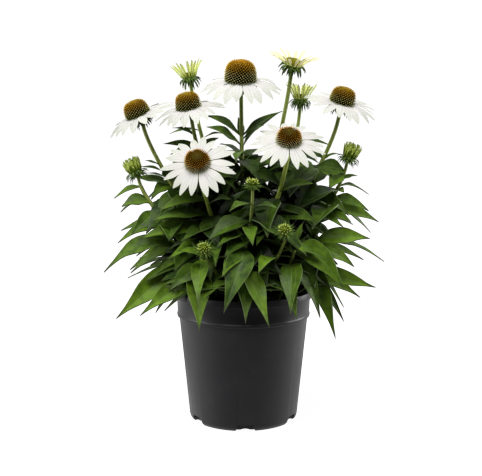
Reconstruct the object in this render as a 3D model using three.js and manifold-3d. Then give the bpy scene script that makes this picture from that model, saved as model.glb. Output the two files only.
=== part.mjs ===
// A white-flowered purple coneflower, Echinacea purpurea, growing in its plastic nursery pot.
//
// Millimetres, +Z up. The origin is on the ground under the middle of the pot, and -Y is the side that
// the two nodding blooms face. The pot is filled with potting mix. Every leafy stem stands in a plain
// hole in the mix and carries its leaves, its green cup and the hooked bracts round the cup. A bloom
// sits on the cup in two more pieces: the rays (the petals round a thin plate) and the spiky cone.

import * as THREE from 'three';
import { mergeVertices } from 'three/addons/utils/BufferGeometryUtils.js';
import Module from 'manifold-3d';

const wasm = await Module();
wasm.setup();

// ---------------------------------------------------------------- driving dimensions

const gap = 0.3; // between neighbouring pieces
const clearance = 0.35; // least air between a leaf and a piece that it passes

const pot = {
  height: 158,
  rimRadius: 83, // outside of the lip
  lipHeight: 8,
  collarRadius: 80.6,
  collarBottom: 127, // the collar's lower edge stands out as a fine ridge
  bodyTopRadius: 77.7,
  bodyBottomRadius: 65.8,
  footRadius: 63,
  footInnerRadius: 58,
  footChamfer: 3.5,
  wall: 1.5,
  floorBottom: 2.5,
  floorTop: 4.2,
  sides: 30,
  notches: 6,
  notchWidth: 24,
  notchHeight: 6.5,
  firstNotch: -88, // degrees
  soften: 0.5, // how far the slopes at the collar and the lip run out
};

const soil = {
  top: 145,
  relief: 1.6, // height of the crumbs
  holeDepth: 22,
  rings: [36, 66],
  sides: 14,
  holeRadius: 5,
  holeSides: 4,
};

const stemSides = 5;
const stemRings = 5;
const shootRings = 3;
const shootRadius = 2.3;
const neckShare = 0.5; // share of a head's lean that its stem takes up, and the head nods by the rest
const ray = { plateHalf: 0.9, thickness: 1.2 }; // petals and the plate that carries them
const leafThickness = 1.3;

const bract = { reach: 3, hook: 5, swerve: 1.8 }; // out from the cup, down, and to a side

// The cup under a head, from the stem up: share of its depth, share of its radius.
const cupOutline = [[0.35, 0.56], [0.68, 0.86], [1, 1]];

// Cones and the green knobs of buds: radius and height of the dome, spikes round it and up it, and how
// far each spike stands out and leans up.
const domes = {
  ripe: { radius: 17.6, height: 27, around: 12, rows: 7, spike: 2.4, lift: 1.6 },
  full: { radius: 13.4, height: 19.5, around: 10, rows: 6, spike: 2.1, lift: 1.2 },
  facing: { radius: 13, height: 15, around: 11, rows: 6, spike: 2.4, lift: 1.4 },
  flat: { radius: 11, height: 5.5, around: 9, rows: 4, spike: 1.2, lift: 0.9 },
  young: { radius: 8.6, height: 5, around: 7, rows: 3, spike: 1.1, lift: 1.4 },
  bud: { radius: 10, height: 13.5, around: 8, rows: 5, spike: 2.4, lift: 4 },
  smallBud: { radius: 6.6, height: 9.5, around: 7, rows: 4, spike: 1.8, lift: 3 },
};

// Rays: how many, how long and wide, the plate that they grow from (share of the dome's radius), the
// angle at which they leave the plate and at which they end (degrees above the plate's plane), how much
// further they hang on the side that the head leans to, and how much those angles wander.
const rayKinds = {
  ripe: { count: 16, length: 34, width: 12.4, plate: 0.88, leave: 6, end: -36, sag: 16, wander: 9 },
  drooping: { count: 16, length: 31, width: 12, plate: 0.88, leave: 10, end: -30, sag: 14, wander: 8 },
  level: { count: 16, length: 32, width: 12, plate: 0.88, leave: 11, end: -20, sag: 20, wander: 8 },
  spread: { count: 16, length: 30, width: 12, plate: 0.88, leave: 5, end: -26, sag: 0, wander: 6 },
  opening: { count: 14, length: 19.5, width: 6.8, plate: 1.12, leave: 42, end: 8, sag: 0, wander: 8 },
  young: { count: 12, length: 19, width: 4.4, plate: 1.2, leave: 72, end: 57, sag: 0, wander: 8 },
};
const plateRadius = ({ rays, dome }) => domes[dome].radius * rayKinds[rays].plate;

// Flowering stems. foot: where the stem leaves the potting mix. head: the middle of the rays' plate.
// lean and toward: how far the head leans from upright, and to which side (degrees, 0 = +X, 90 = +Y).
// rise and bow: how long the stem keeps upright at its foot and straight below its head.
// leaves: height on the stem, tip, width, arch above the chord, and how far the upper face is rolled
// toward -Y (0 = level).
const flowers = [
  {
    name: 'top',
    foot: [0, 8], head: [-3, 15, 408], lean: 18, toward: -92, rise: 90, bow: 70,
    dome: 'ripe', rays: 'ripe', radius: 2.7,
    leaves: [
      [341, [-45, -10, 367], 13, 9, 1], [330, [-44, -25, 354], 17, 9, 1.3],
      [342, [46, -12, 372], 14, 5, 1.2], [336, [-7, 48, 366], 9, 5, 0],
      [337, [48, 38, 373], 11, 7, 0.4], [327, [24, -30, 356], 14, 9, 1.2],
      [318, [-9, -48, 313], 16, 16, 0], [300, [-46, 20, 316], 16, 12, 1],
      [296, [44, 30, 312], 16, 12, 1], [286, [-34, -38, 292], 19, 12, 0.8],
      [278, [34, -30, 292], 19, 12, 0.8], [262, [-26, -30, 272], 19, 12, 0.8],
      [316, [-30, 44, 332], 17, 10, 0.2], [308, [26, 48, 326], 17, 10, 0.2],
    ],
    fill: { count: 5, from: [190, 272], toward: 90, spread: 130 },
  },
  {
    name: 'left',
    foot: [-25, 4], head: [-125, 5, 367], lean: 26, toward: -152, rise: 70, bow: 60,
    dome: 'full', rays: 'level', radius: 2.6,
    leaves: [
      [306, [-118, -4, 314], 7, 3, 0.2], [299, [-126, 2, 306], 8, 4, 0.3],
      [291, [-121, 14, 298], 8, 4, 0.3], [287, [-86, -12, 308], 17, 3, 1.6],
      [280, [-112, 10, 266], 19, 14, 1], [276, [-103, -24, 246], 18, 12, 1],
      [262, [-122, 34, 238], 18, 14, 0.6], [252, [-108, -18, 240], 20, 12, 1.2],
      [284, [-134, 24, 292], 14, 6, 0.4],
    ],
    fill: { count: 3, from: [200, 255], toward: 140, spread: 70 },
  },
  {
    name: 'upper_left',
    foot: [-14, 15], head: [-65, 10, 376], lean: 19, toward: -128, rise: 80, bow: 60,
    dome: 'full', rays: 'drooping', radius: 2.6,
    leaves: [
      [343, [-87, 25, 352], 10, 6, 0.5], [333, [-98, 20, 333], 9, 3, 0.8],
      [330, [-89, 8, 320], 10, 3, 0.8], [322, [-30, 34, 340], 12, 8, 0.4],
      [300, [-96, 32, 288], 17, 14, 0.7], [290, [-72, -26, 290], 18, 10, 1.2],
      [272, [-62, -40, 262], 20, 12, 0.9],
    ],
    fill: { count: 3, from: [215, 280], toward: 120, spread: 90 },
  },
  {
    name: 'front_left',
    foot: [-17, -19], head: [-52, -53, 313], lean: 50, toward: -96, rise: 60, bow: 34,
    dome: 'facing', rays: 'spread', radius: 2.5,
    leaves: [
      [268, [-98, -48, 257], 17, 12, 0.9], [250, [-106, -52, 246], 19, 12, 1],
      [262, [-14, -62, 272], 15, 8, 0.8], [232, [-122, -50, 224], 22, 16, 1.3],
      [226, [-20, -104, 201], 18, 14, 0.4], [238, [4, -58, 284], 15, 6, 1],
      [214, [-86, -84, 206], 22, 14, 0.6],
    ],
    fill: { count: 2, from: [196, 214], toward: -150, spread: 40 },
  },
  {
    name: 'front_right',
    foot: [15, -17], head: [52, -44, 338], lean: 36, toward: -88, rise: 70, bow: 44,
    dome: 'facing', rays: 'spread', radius: 2.7,
    leaves: [
      [264, [-3, -62, 253], 17, 10, 1.4], [240, [-32, -76, 241], 22, 10, 1.6],
      [238, [14, -86, 222], 17, 8, 0.6], [284, [8, -34, 300], 16, 10, 0.9],
      [278, [80, -58, 290], 16, 10, 0.9], [248, [84, -66, 246], 20, 14, 0.9],
      [222, [70, -90, 212], 20, 16, 0.5],
    ],
    fill: { count: 2, from: [205, 225], toward: -20, spread: 40 },
  },
  {
    name: 'right',
    foot: [27, 5], head: [118, 10, 382], lean: 20, toward: -54, rise: 80, bow: 66,
    dome: 'full', rays: 'level', radius: 2.6,
    leaves: [
      [312, [114, 6, 322], 8, 5, 0.4], [316, [66, 0, 330], 14, 5, 1], [302, [116, 16, 288], 18, 12, 1],
      [306, [44, -40, 277], 23, 16, 1.4], [290, [64, -34, 262], 19, 12, 1],
      [296, [60, 40, 306], 17, 10, 0.8], [276, [124, -26, 250], 18, 14, 0.9],
      [262, [116, -44, 238], 20, 14, 1], [280, [114, 38, 304], 18, 8, 0.3],
    ],
    fill: { count: 3, from: [205, 270], toward: 40, spread: 80 },
  },
  {
    name: 'opening',
    foot: [14, 24], head: [61, 40, 430], lean: 24, toward: -60, rise: 90, bow: 80,
    dome: 'flat', rays: 'opening', radius: 2.7,
    leaves: [
      [338, [86, 34, 340], 11, 8, 0.6], [330, [22, 54, 338], 11, 8, 0], [318, [84, 66, 318], 13, 10, 0],
    ],
    fill: { count: 5, from: [205, 306], toward: 90, spread: 100 },
  },
  {
    name: 'young_left',
    foot: [-12, 32], head: [-68, 66, 415], lean: 13, toward: 175, rise: 90, bow: 70,
    dome: 'young', rays: 'young', radius: 2.5,
    leaves: [
      [348, [-94, 66, 344], 11, 8, 0], [338, [-22, 62, 344], 11, 8, 0],
      [322, [-72, 88, 312], 13, 10, 0],
    ],
    fill: { count: 5, from: [205, 310], toward: 125, spread: 95 },
  },
  {
    name: 'young_right',
    foot: [28, 20], head: [72, 64, 388], lean: 5, toward: -30, rise: 80, bow: 60,
    dome: 'young', rays: 'young', radius: 2.4,
    leaves: [
      [334, [110, 58, 330], 11, 8, 0.4], [318, [98, 88, 306], 13, 10, 0],
    ],
    fill: { count: 5, from: [205, 302], toward: 50, spread: 95 },
  },
];

// Stems that end in a bud, written as above.
const buds = [
  {
    name: 'bud_left',
    foot: [-34, -10], head: [-129, -10, 302], lean: 24, toward: 178, rise: 60, bow: 50,
    dome: 'bud', radius: 2.2,
    leaves: [
      [283, [-156, 0, 268], 10, 6, 0.6], [264, [-144, -20, 260], 19, 10, 1.2],
      [254, [-131, -45, 229], 17, 8, 1.2], [238, [-151, -8, 215], 17, 14, 1],
      [268, [-150, 14, 250], 15, 10, 0.6],
    ],
    fill: { count: 2, from: [206, 236], toward: -175, spread: 50 },
  },
  {
    name: 'bud_right',
    foot: [37, -7], head: [127, 0, 319], lean: 20, toward: -10, rise: 60, bow: 60,
    dome: 'bud', radius: 2.2,
    leaves: [
      [300, [82, -22, 307], 21, 9, 1.6], [297, [101, -24, 282], 19, 4, 1.8],
      [290, [138, 5, 295], 8, 5, 0.3], [283, [152, 10, 272], 10, 10, 0.4],
      [276, [119, -18, 277], 12, 6, 0.6], [268, [151, 0, 253], 15, 9, 0.6],
      [262, [157, 22, 224], 12, 14, 0.6], [250, [126, -35, 243], 15, 10, 0.9],
    ],
    fill: { count: 2, from: [225, 262], toward: 30, spread: 30 },
  },
  {
    name: 'bud_middle',
    foot: [0, -25], head: [10, -70, 290], lean: 4, toward: -90, rise: 60, bow: 40,
    dome: 'smallBud', radius: 1.9,
    leaves: [
      [266, [-16, -98, 262], 14, 10, 0.5], [260, [38, -92, 264], 14, 10, 0.5],
      [240, [10, -112, 226], 17, 12, 0], [228, [-30, -96, 222], 18, 12, 0.4],
    ],
    fill: { count: 1, from: [200, 220], toward: 0, spread: 40 },
  },
  {
    name: 'bud_low_left',
    foot: [-12, -37], head: [-44, -92, 220], lean: 52, toward: -95, rise: 36, bow: 26,
    dome: 'smallBud', radius: 1.9,
    leaves: [
      [204, [-72, -102, 219], 16, 6, 0.4],
    ],
  },
  {
    name: 'bud_low_right',
    foot: [17, -34], head: [46, -86, 240], lean: 50, toward: -100, rise: 40, bow: 26,
    dome: 'smallBud', radius: 1.9,
    leaves: [
      [214, [88, -92, 212], 18, 12, 0.6], [204, [16, -114, 196], 17, 12, 0.2],
    ],
  },
];

// Young shoots without a flower. foot and top: the ends of the shoot, which leans out to its top.
const shoots = [
  {
    name: 'left',
    foot: [-48, 0], top: [-74, -14, 206],
    leaves: [
      [207, [-166, -25, 182], 24, 44, 1.5], [194, [-150, -45, 130], 28, 16, 2],
      [192, [-143, 17, 168], 14, 9, 0.3], [178, [-106, -16, 131], 14, 16, 0.5],
      [202, [-130, 34, 190], 20, 11, 0.5],
    ],
    fill: { count: 2, from: [168, 186], toward: 150, spread: 30 },
  },
  {
    name: 'front_left',
    foot: [-34, -27], top: [-48, -62, 204],
    leaves: [
      [180, [-120, -60, 137], 22, 12, 1.6], [174, [-93, -42, 139], 16, 12, 0.8],
      [184, [-49, -107, 130], 29, 26, 0.2], [202, [-38, -119, 168], 20, 18, 0.2],
      [190, [-84, -92, 172], 22, 18, 0.8],
    ],
  },
  {
    name: 'front',
    foot: [-6, -50], top: [2, -72, 222],
    leaves: [
      [218, [-22, -123, 153], 31, 26, 0.5], [206, [-24, -112, 191], 19, 12, 0.4],
      [182, [2, -109, 139], 22, 24, 0], [192, [28, -114, 136], 27, 28, 0],
      [172, [-42, -92, 164], 20, 18, 0.3], [176, [62, -86, 160], 20, 16, 0.3],
    ],
  },
  {
    name: 'front_right',
    foot: [35, -40], top: [60, -58, 222],
    leaves: [
      [196, [52, -103, 148], 27, 26, 0.2], [182, [60, -90, 139], 20, 22, 0.4],
      [218, [114, -75, 171], 28, 26, 1.8], [202, [88, -66, 136], 23, 24, 1.2],
    ],
  },
  {
    name: 'right',
    foot: [50, -16], top: [84, -26, 222],
    leaves: [
      [194, [108, -50, 107], 22, 34, 2], [221, [170, -5, 192], 15, 18, 0.8],
      [219, [150, -20, 222], 23, 14, 1.4], [206, [129, -46, 192], 18, 20, 1.6],
      [200, [104, -60, 206], 16, 12, 0.9], [187, [159, -15, 162], 21, 5, 1.4],
      [176, [122, -10, 119], 15, 28, 0.9],
    ],
  },
  {
    name: 'back_right',
    foot: [46, 22], top: [72, 40, 210],
    leaves: [
      [182, [125, 22, 130], 16, 30, 0.3], [200, [152, 48, 186], 22, 20, 0.3],
    ],
    fill: { count: 5, from: [160, 208], toward: 62, spread: 70 },
  },
  {
    name: 'back',
    foot: [6, 46], top: [4, 62, 214],
    leaves: [],
    fill: { count: 6, from: [162, 212], toward: 92, spread: 80 },
  },
  {
    name: 'back_left',
    foot: [-38, 26], top: [-66, 42, 208],
    leaves: [
      [186, [-140, 62, 172], 19, 18, 0],
    ],
    fill: { count: 5, from: [160, 206], toward: 128, spread: 66 },
  },
];

// How far back a filling leaf may reach, which is as far as the leaves reach to the front.
const backReach = 123;

// A tiny bud in the fork of the top flower's stem.
const forkBud = { on: 'top', height: 322, reach: [-8, -2, 12], radius: 3.2 };

// Petal outline: share of the length and of the width. The last ring is the notched tip.
const petalOutline = [[0.52, 1], [1, 0.55]];

// Leaf outline: share of the length, share of the width, and rise of the wavy edge (share of the width).
// The blade ends in a point at the full length.
const longOutline = [
  [0, 0.14, 0, 0], [0.16, 0.3, 0, 0], [0.36, 0.96, 0.1, -0.02], [0.58, 0.92, -0.03, 0.1],
  [0.8, 0.42, 0.05, 0],
];
const shortOutline = [
  [0, 0.18, 0, 0], [0.22, 0.56, 0.05, 0], [0.46, 1, 0, 0.08], [0.76, 0.56, 0.04, 0],
];
const smallOutline = [
  [0, 0.2, 0, 0], [0.38, 1, 0.06, 0], [0.72, 0.66, 0, 0.06],
];
const outlineFor = (length) => {
  if (length > 88) return longOutline;
  return length > 60 ? shortOutline : smallOutline;
};
const leafFold = 0.16; // rise of the edges over the midrib, as a share of the width

// A leaf that would touch a neighbour is bent aside, by the first of these steps that leaves it free:
// degrees round its stem, millimetres of lift at the tip, and millimetres of arch.
const bends = [
  [0, 0, 0], [0, 0, 5], [0, 0, -5], [4, 0, 0], [-4, 0, 0], [0, 4, 0], [0, -4, 0], [0, 0, 10],
  [8, 0, 3], [-8, 0, 3], [8, -4, 0], [-8, -4, 0], [0, 8, 4], [0, -8, 4], [12, 4, 0], [-12, 4, 0],
  [12, -6, 4], [-12, -6, 4], [18, 0, 0], [-18, 0, 0], [18, 8, 6], [-18, 8, 6], [18, -8, 0], [-18, -8, 0],
  [26, 0, 0], [-26, 0, 0], [26, 10, 6], [-26, 10, 6], [36, 4, 0], [-36, 4, 0], [36, 14, 6], [-36, 14, 6],
  [48, 8, 0], [-48, 8, 0], [48, -6, 0], [-48, -6, 0],
];

// Colours.
const colours = {
  pot: 0x2f2f32,
  soil: 0x2b1d14,
  leaf: 0x3f611f,
  petal: 0xf4f3ee,
  cream: 0xe9e7b4,
  cone: 0x9a4f12,
  youngCone: 0x7d7f25,
  bud: 0x93a832,
};

// ---------------------------------------------------------------- geometry helpers

const up = new THREE.Vector3(0, 0, 1);
const { degToRad, lerp, smoothstep } = THREE.MathUtils;
const vector = (x, y, z) => new THREE.Vector3(x, y, z);
const material = (color, roughness) => new THREE.MeshStandardMaterial({ color, roughness, metalness: 0 });

// A value from -1 to 1 for the count k, spread evenly by the golden section.
const wander = (k) => 2 * ((k * 0.618034 + 0.35) % 1) - 1;

// The solid inside a closed geometry.
function solid(geometry) {
  const bare = geometry.clone();
  bare.deleteAttribute('normal');
  bare.deleteAttribute('uv');
  const merged = mergeVertices(bare, 1e-4);
  const vertProperties = merged.getAttribute('position').array;
  const corners = merged.index.array;
  const triVerts = [];
  for (let i = 0; i < corners.length; i += 3) {
    const [a, b, c] = corners.slice(i, i + 3);
    if (a !== b && b !== c && c !== a) triVerts.push(a, b, c);
  }
  const mesh = new wasm.Mesh({ numProp: 3, vertProperties, triVerts: new Uint32Array(triVerts) });
  return new wasm.Manifold(mesh);
}

// The geometry of a solid, for a mesh.
function geometryOf(body) {
  const { vertProperties, triVerts } = body.getMesh();
  const geometry = new THREE.BufferGeometry();
  geometry.setAttribute('position', new THREE.BufferAttribute(vertProperties, 3));
  geometry.setIndex(new THREE.BufferAttribute(triVerts, 1));
  geometry.computeVertexNormals();
  return geometry;
}

const join = (bodies) => wasm.Manifold.union(bodies);

// A closed skin through a row of rings. A ring of one point ends it in a tip, and an end ring of several
// points is closed flat. The diagonals alternate round the ring, so that the upper and lower face of a
// four-point blade are split alike. spikeAt may give a side a tip to run out to instead.
function skin(rings, spikeAt = () => null) {
  const positions = [];
  const triangles = [];
  const pointAt = (k) => vector(...positions.slice(3 * k, 3 * k + 3));
  const starts = rings.map((ring) => {
    const start = positions.length / 3;
    ring.forEach((point) => positions.push(point.x, point.y, point.z));
    return start;
  });
  for (let i = 1; i < rings.length; i += 1) {
    const count = Math.max(rings[i - 1].length, rings[i].length);
    for (let k = 0; k < count; k += 1) {
      const next = (k + 1) % count;
      const a = starts[i - 1] + (rings[i - 1].length > 1 ? k : 0);
      const b = starts[i - 1] + (rings[i - 1].length > 1 ? next : 0);
      const c = starts[i] + (rings[i].length > 1 ? k : 0);
      const d = starts[i] + (rings[i].length > 1 ? next : 0);
      const corners = [a, b, d, c];
      const spike = spikeAt(i, corners.map(pointAt));
      if (spike) {
        const apex = positions.length / 3;
        positions.push(spike.x, spike.y, spike.z);
        corners.forEach((corner, side) => triangles.push(corner, corners[(side + 1) % 4], apex));
        continue;
      }
      const pair = k % 2 ? [[a, b, c], [b, d, c]] : [[a, b, d], [a, d, c]];
      pair.forEach(([p, q, r]) => p !== q && q !== r && r !== p && triangles.push(p, q, r));
    }
  }
  const close = (start, count, flip) => {
    for (let k = 2; k < count; k += 1) {
      const corner = [start + 1, start + k, start + ((k + 1) % count)];
      triangles.push(...(flip ? corner.reverse() : corner));
    }
  };
  close(starts[0], rings[0].length, true);
  close(starts.at(-1), rings.at(-1).length, false);
  return turnedOut(positions, triangles);
}

// The solid of a closed surface whose triangles all face one way, turned so that they face out.
function turnedOut(positions, triangles) {
  const corner = (k) => vector(...positions.slice(3 * k, 3 * k + 3));
  let volume = 0;
  for (let i = 0; i < triangles.length; i += 3) {
    const [a, b, c] = triangles.slice(i, i + 3).map(corner);
    volume += a.dot(b.cross(c));
  }
  const geometry = new THREE.BufferGeometry();
  geometry.setAttribute('position', new THREE.Float32BufferAttribute(positions, 3));
  geometry.setIndex(volume < 0 ? triangles.slice().reverse() : triangles);
  return solid(geometry);
}

// A flat ring of points round a centre, at each [across, along] in the directions of two unit vectors.
const ringAt = (centre, across, along, points) => points.map(([u, v]) => (
  centre.clone().addScaledVector(across, u).addScaledVector(along, v)
));

const circle = (radius, sides) => Array.from({ length: sides }, (_, k) => {
  const angle = (2 * Math.PI * k) / sides;
  return [radius * Math.cos(angle), radius * Math.sin(angle)];
});

// The rings of a round rod along a curve, with a steady frame.
function rodRings(curve, count, radiusAt) {
  const { normals, binormals } = curve.computeFrenetFrames(count);
  return Array.from({ length: count + 1 }, (_, k) => {
    const section = circle(radiusAt(k / count), stemSides);
    return ringAt(curve.getPointAt(k / count), normals[k], binormals[k], section);
  });
}

// ---------------------------------------------------------------- leaves, bracts, petals, domes

// A leaf: an arched blade, folded up along its midrib, with wavy edges.
function leafBlade({ base, tip, width, arch, roll }) {
  const chord = tip.clone().sub(base);
  const middle = base.clone().addScaledVector(chord, 0.45).addScaledVector(up, arch);
  const curve = new THREE.QuadraticBezierCurve3(base, middle, tip);
  const level = vector(0, -roll, 1);
  const rings = outlineFor(chord.length()).map(([along, share, riseLeft, riseRight]) => {
    const direction = curve.getTangent(along);
    const across = chord.clone().cross(level);
    across.addScaledVector(direction, -across.dot(direction)).normalize();
    const normal = across.clone().cross(direction).normalize();
    const half = (width * share) / 2;
    const fold = 2 * half * leafFold;
    return ringAt(curve.getPoint(along), across, normal, [
      [-half, fold + width * riseLeft], [0, leafThickness / 2], [half, fold + width * riseRight],
      [0, -leafThickness / 2],
    ]);
  });
  return skin([...rings, [tip]]);
}

// The petals of one bloom round their plate, with the plate's middle at the origin and the axis up. The
// plate has a corner between each two petals, and each petal grows out of the side between two corners.
function rayBody(stem) {
  const { count, length, width, leave, end, sag, wander: spread } = rayKinds[stem.rays];
  const rim = plateRadius(stem);
  const positions = [0, 0, ray.plateHalf, 0, 0, -ray.plateHalf];
  const triangles = [];
  const corner = (k) => 2 + (k % count);
  for (let k = 0; k < count; k += 1) {
    const turn = (2 * Math.PI * (k - 0.5)) / count;
    positions.push(rim * Math.cos(turn), rim * Math.sin(turn), 0);
  }
  for (let k = 0; k < count; k += 1) {
    const own = k + stem.order;
    const turn = (2 * Math.PI * (k + 0.08 * wander(own))) / count;
    const outward = vector(Math.cos(turn), Math.sin(turn), 0);
    const across = vector(-Math.sin(turn), Math.cos(turn), 0);
    const size = length * (1 + 0.07 * wander(own + 5));
    const hang = sag * Math.max(0, Math.cos(turn - degToRad(stem.toward)));
    const first = degToRad(leave + spread * wander(own + 11));
    const last = degToRad(end - hang + spread * wander(own + 23));
    const stepAt = (angle, far) => (
      outward.clone().multiplyScalar(far * Math.cos(angle)).addScaledVector(up, far * Math.sin(angle))
    );
    const start = outward.clone().multiplyScalar(rim);
    const bend = start.clone().add(stepAt(first, size * 0.5));
    const tip = bend.clone().add(stepAt(last, size * 0.6));
    const curve = new THREE.QuadraticBezierCurve3(start, bend, tip);

    // the root: two corners of the plate, and the middle of its side on both faces
    const root = positions.length / 3;
    positions.push(start.x, start.y, ray.plateHalf, start.x, start.y, -ray.plateHalf);
    triangles.push(0, corner(k), root, 0, root, corner(k + 1));
    triangles.push(1, root + 1, corner(k), 1, corner(k + 1), root + 1);

    let ring = [corner(k), root, corner(k + 1), root + 1];
    petalOutline.forEach(([along, share]) => {
      const direction = curve.getTangent(along);
      const normal = direction.clone().cross(across);
      const half = (width * share) / 2;
      const notch = along < 1 ? 0 : width * 0.2;
      const middle = curve.getPoint(along);
      const spine = middle.clone().addScaledVector(direction, -notch);
      const next = positions.length / 3;
      [
        middle.clone().addScaledVector(across, -half).addScaledVector(normal, -0.16 * half),
        spine.clone().addScaledVector(normal, ray.thickness / 2),
        middle.clone().addScaledVector(across, half).addScaledVector(normal, -0.16 * half),
        spine.clone().addScaledVector(normal, -ray.thickness / 2),
      ].forEach(({ x, y, z }) => positions.push(x, y, z));
      for (let side = 0; side < 4; side += 1) {
        const other = (side + 1) % 4;
        const [a, b, c, d] = [ring[side], ring[other], next + side, next + other];
        triangles.push(...(side % 2 ? [a, c, b, b, c, d] : [a, d, b, a, c, d]));
      }
      ring = [0, 1, 2, 3].map((side) => next + side);
    });
    triangles.push(ring[0], ring[3], ring[1], ring[1], ring[3], ring[2]);
  }
  return turnedOut(positions, triangles);
}

// A dome tiled with diamonds, each raised to a spike, with the middle of its base at the origin.
function domeBody({ radius, height, around, rows, spike, lift }) {
  const lowest = degToRad(-24); // the dome draws in below its widest girdle
  const top = degToRad(78);
  const half = height / (1 - Math.sin(lowest));
  const point = (row, k, out = 0, higher = 0) => {
    const slope = lerp(lowest, top, row / rows);
    const turn = (2 * Math.PI * (k + row / 2)) / around;
    const reach = radius * Math.cos(slope) + out * Math.cos(slope);
    return [
      reach * Math.cos(turn), reach * Math.sin(turn),
      half * (Math.sin(slope) - Math.sin(lowest)) + out * Math.sin(Math.max(slope, 0)) + higher,
    ];
  };
  const positions = [];
  for (let row = 0; row <= rows; row += 1) {
    for (let k = 0; k < around; k += 1) positions.push(...point(row, k));
  }
  const at = (row, k) => row * around + ((k % around) + around) % around;
  const triangles = [];
  for (let row = 0; row < rows - 1; row += 1) {
    for (let k = 0; k < around; k += 1) {
      // the diamond between four neighbours: below, right, above and left
      const corners = [at(row, k), at(row + 1, k), at(row + 2, k - 1), at(row + 1, k - 1)];
      const apex = positions.length / 3;
      positions.push(...point(row + 1, k - 0.5, spike, lift));
      corners.forEach((corner, side) => triangles.push(corner, corners[(side + 1) % 4], apex));
    }
  }
  const crown = positions.length / 3;
  positions.push(0, 0, height + lift / 2);
  for (let k = 0; k < around; k += 1) {
    triangles.push(at(0, k), at(0, k + 1), at(1, k));
    triangles.push(at(rows, k), at(rows - 1, k + 1), at(rows, k + 1));
    triangles.push(at(rows, k), at(rows, k + 1), crown);
    if (k > 1) triangles.push(at(0, 0), at(0, k), at(0, k - 1));
  }
  return turnedOut(positions, triangles);
}

// ---------------------------------------------------------------- stems

const axisOf = ({ lean, toward }) => vector(
  Math.sin(degToRad(lean)) * Math.cos(degToRad(toward)),
  Math.sin(degToRad(lean)) * Math.sin(degToRad(toward)),
  Math.cos(degToRad(lean)),
);

const ringsOf = (stem) => (stem.top ? shootRings : stemRings);

// The middle line of a stem, from the bottom of its hole to its neck.
function stemCurve(stem) {
  const bottom = soil.top - soil.holeDepth + gap;
  const [x, y] = stem.foot;
  if (stem.top) {
    const end = vector(...stem.top);
    const bend = vector(lerp(x, end.x, 0.6), lerp(y, end.y, 0.6), soil.top + 26);
    return new THREE.CubicBezierCurve3(vector(x, y, bottom), vector(x, y, soil.top), bend, end);
  }
  const axis = axisOf(stem);
  const neck = vector(...stem.head).addScaledVector(axis, -cupOf(stem).depth);
  const neckAxis = axisOf({ lean: neckShare * stem.lean, toward: stem.toward });
  const bend = neck.clone().addScaledVector(neckAxis, -stem.bow);
  return new THREE.CubicBezierCurve3(vector(x, y, bottom), vector(x, y, soil.top + stem.rise), bend, neck);
}

// The green cup under a head: its radius at the top, and its depth below the head's middle.
const cupOf = (stem) => ({
  radius: stem.rays ? 0.86 * plateRadius(stem) : 0.72 * domes[stem.dome].radius,
  depth: 5 + 0.4 * domes[stem.dome].radius,
});

// A point on a curve at a height.
function pointAtHeight(curve, height) {
  let low = 0;
  let high = 1;
  for (let k = 0; k < 40; k += 1) {
    const middle = (low + high) / 2;
    if (curve.getPoint(middle).z < height) low = middle;
    else high = middle;
  }
  return curve.getPoint(low);
}

// The rod of a stem, with its cup if it carries a head.
function stalkBody(stem) {
  const curve = stemCurve(stem);
  const thick = stem.radius ?? shootRadius;
  const rings = rodRings(curve, ringsOf(stem), (along) => thick * (1.12 - 0.24 * along));
  if (stem.top) {
    const tip = curve.getPoint(1).addScaledVector(curve.getTangent(1), 5);
    return skin([...rings, [tip]]);
  }
  return skin([...rings, ...cupRings(stem, curve, rings.at(-1))], bractTips(stem, rings.length));
}

// The rings of the cup, each a larger copy of the stem's last ring.
function cupRings(stem, curve, last) {
  const axis = axisOf(stem);
  const { radius, depth } = cupOf(stem);
  const middle = curve.getPoint(1);
  const spokes = last.map((point) => point.clone().sub(middle).projectOnPlane(axis).normalize());
  return cupOutline.map(([share, wide]) => {
    const centre = middle.clone().addScaledVector(axis, (depth - ray.plateHalf - gap) * share);
    return spokes.map((spoke) => centre.clone().addScaledVector(spoke, radius * wide));
  });
}

// Bracts: each side of the cup between two of its rings runs out to a tip, which hooks out and down.
// They are in rounds, and every second round leans the other way.
function bractTips(stem, firstRing) {
  const axis = axisOf(stem);
  const reach = bract.reach + 0.3 * cupOf(stem).radius;
  return (ring, corners) => {
    if (ring < firstRing + 1) return null;
    const round = ring - firstRing;
    const tip = corners.reduce((sum, point) => sum.add(point), vector(0, 0, 0)).divideScalar(corners.length);
    const centre = vector(...stem.head);
    centre.addScaledVector(axis, tip.clone().sub(centre).dot(axis));
    const outward = tip.clone().sub(centre).normalize();
    const sideways = axis.clone().cross(outward);
    tip.addScaledVector(outward, reach + round).addScaledVector(axis, -bract.hook);
    return tip.addScaledVector(sideways, round % 2 ? bract.swerve : -bract.swerve);
  };
}

// ---------------------------------------------------------------- pot and potting mix

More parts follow.
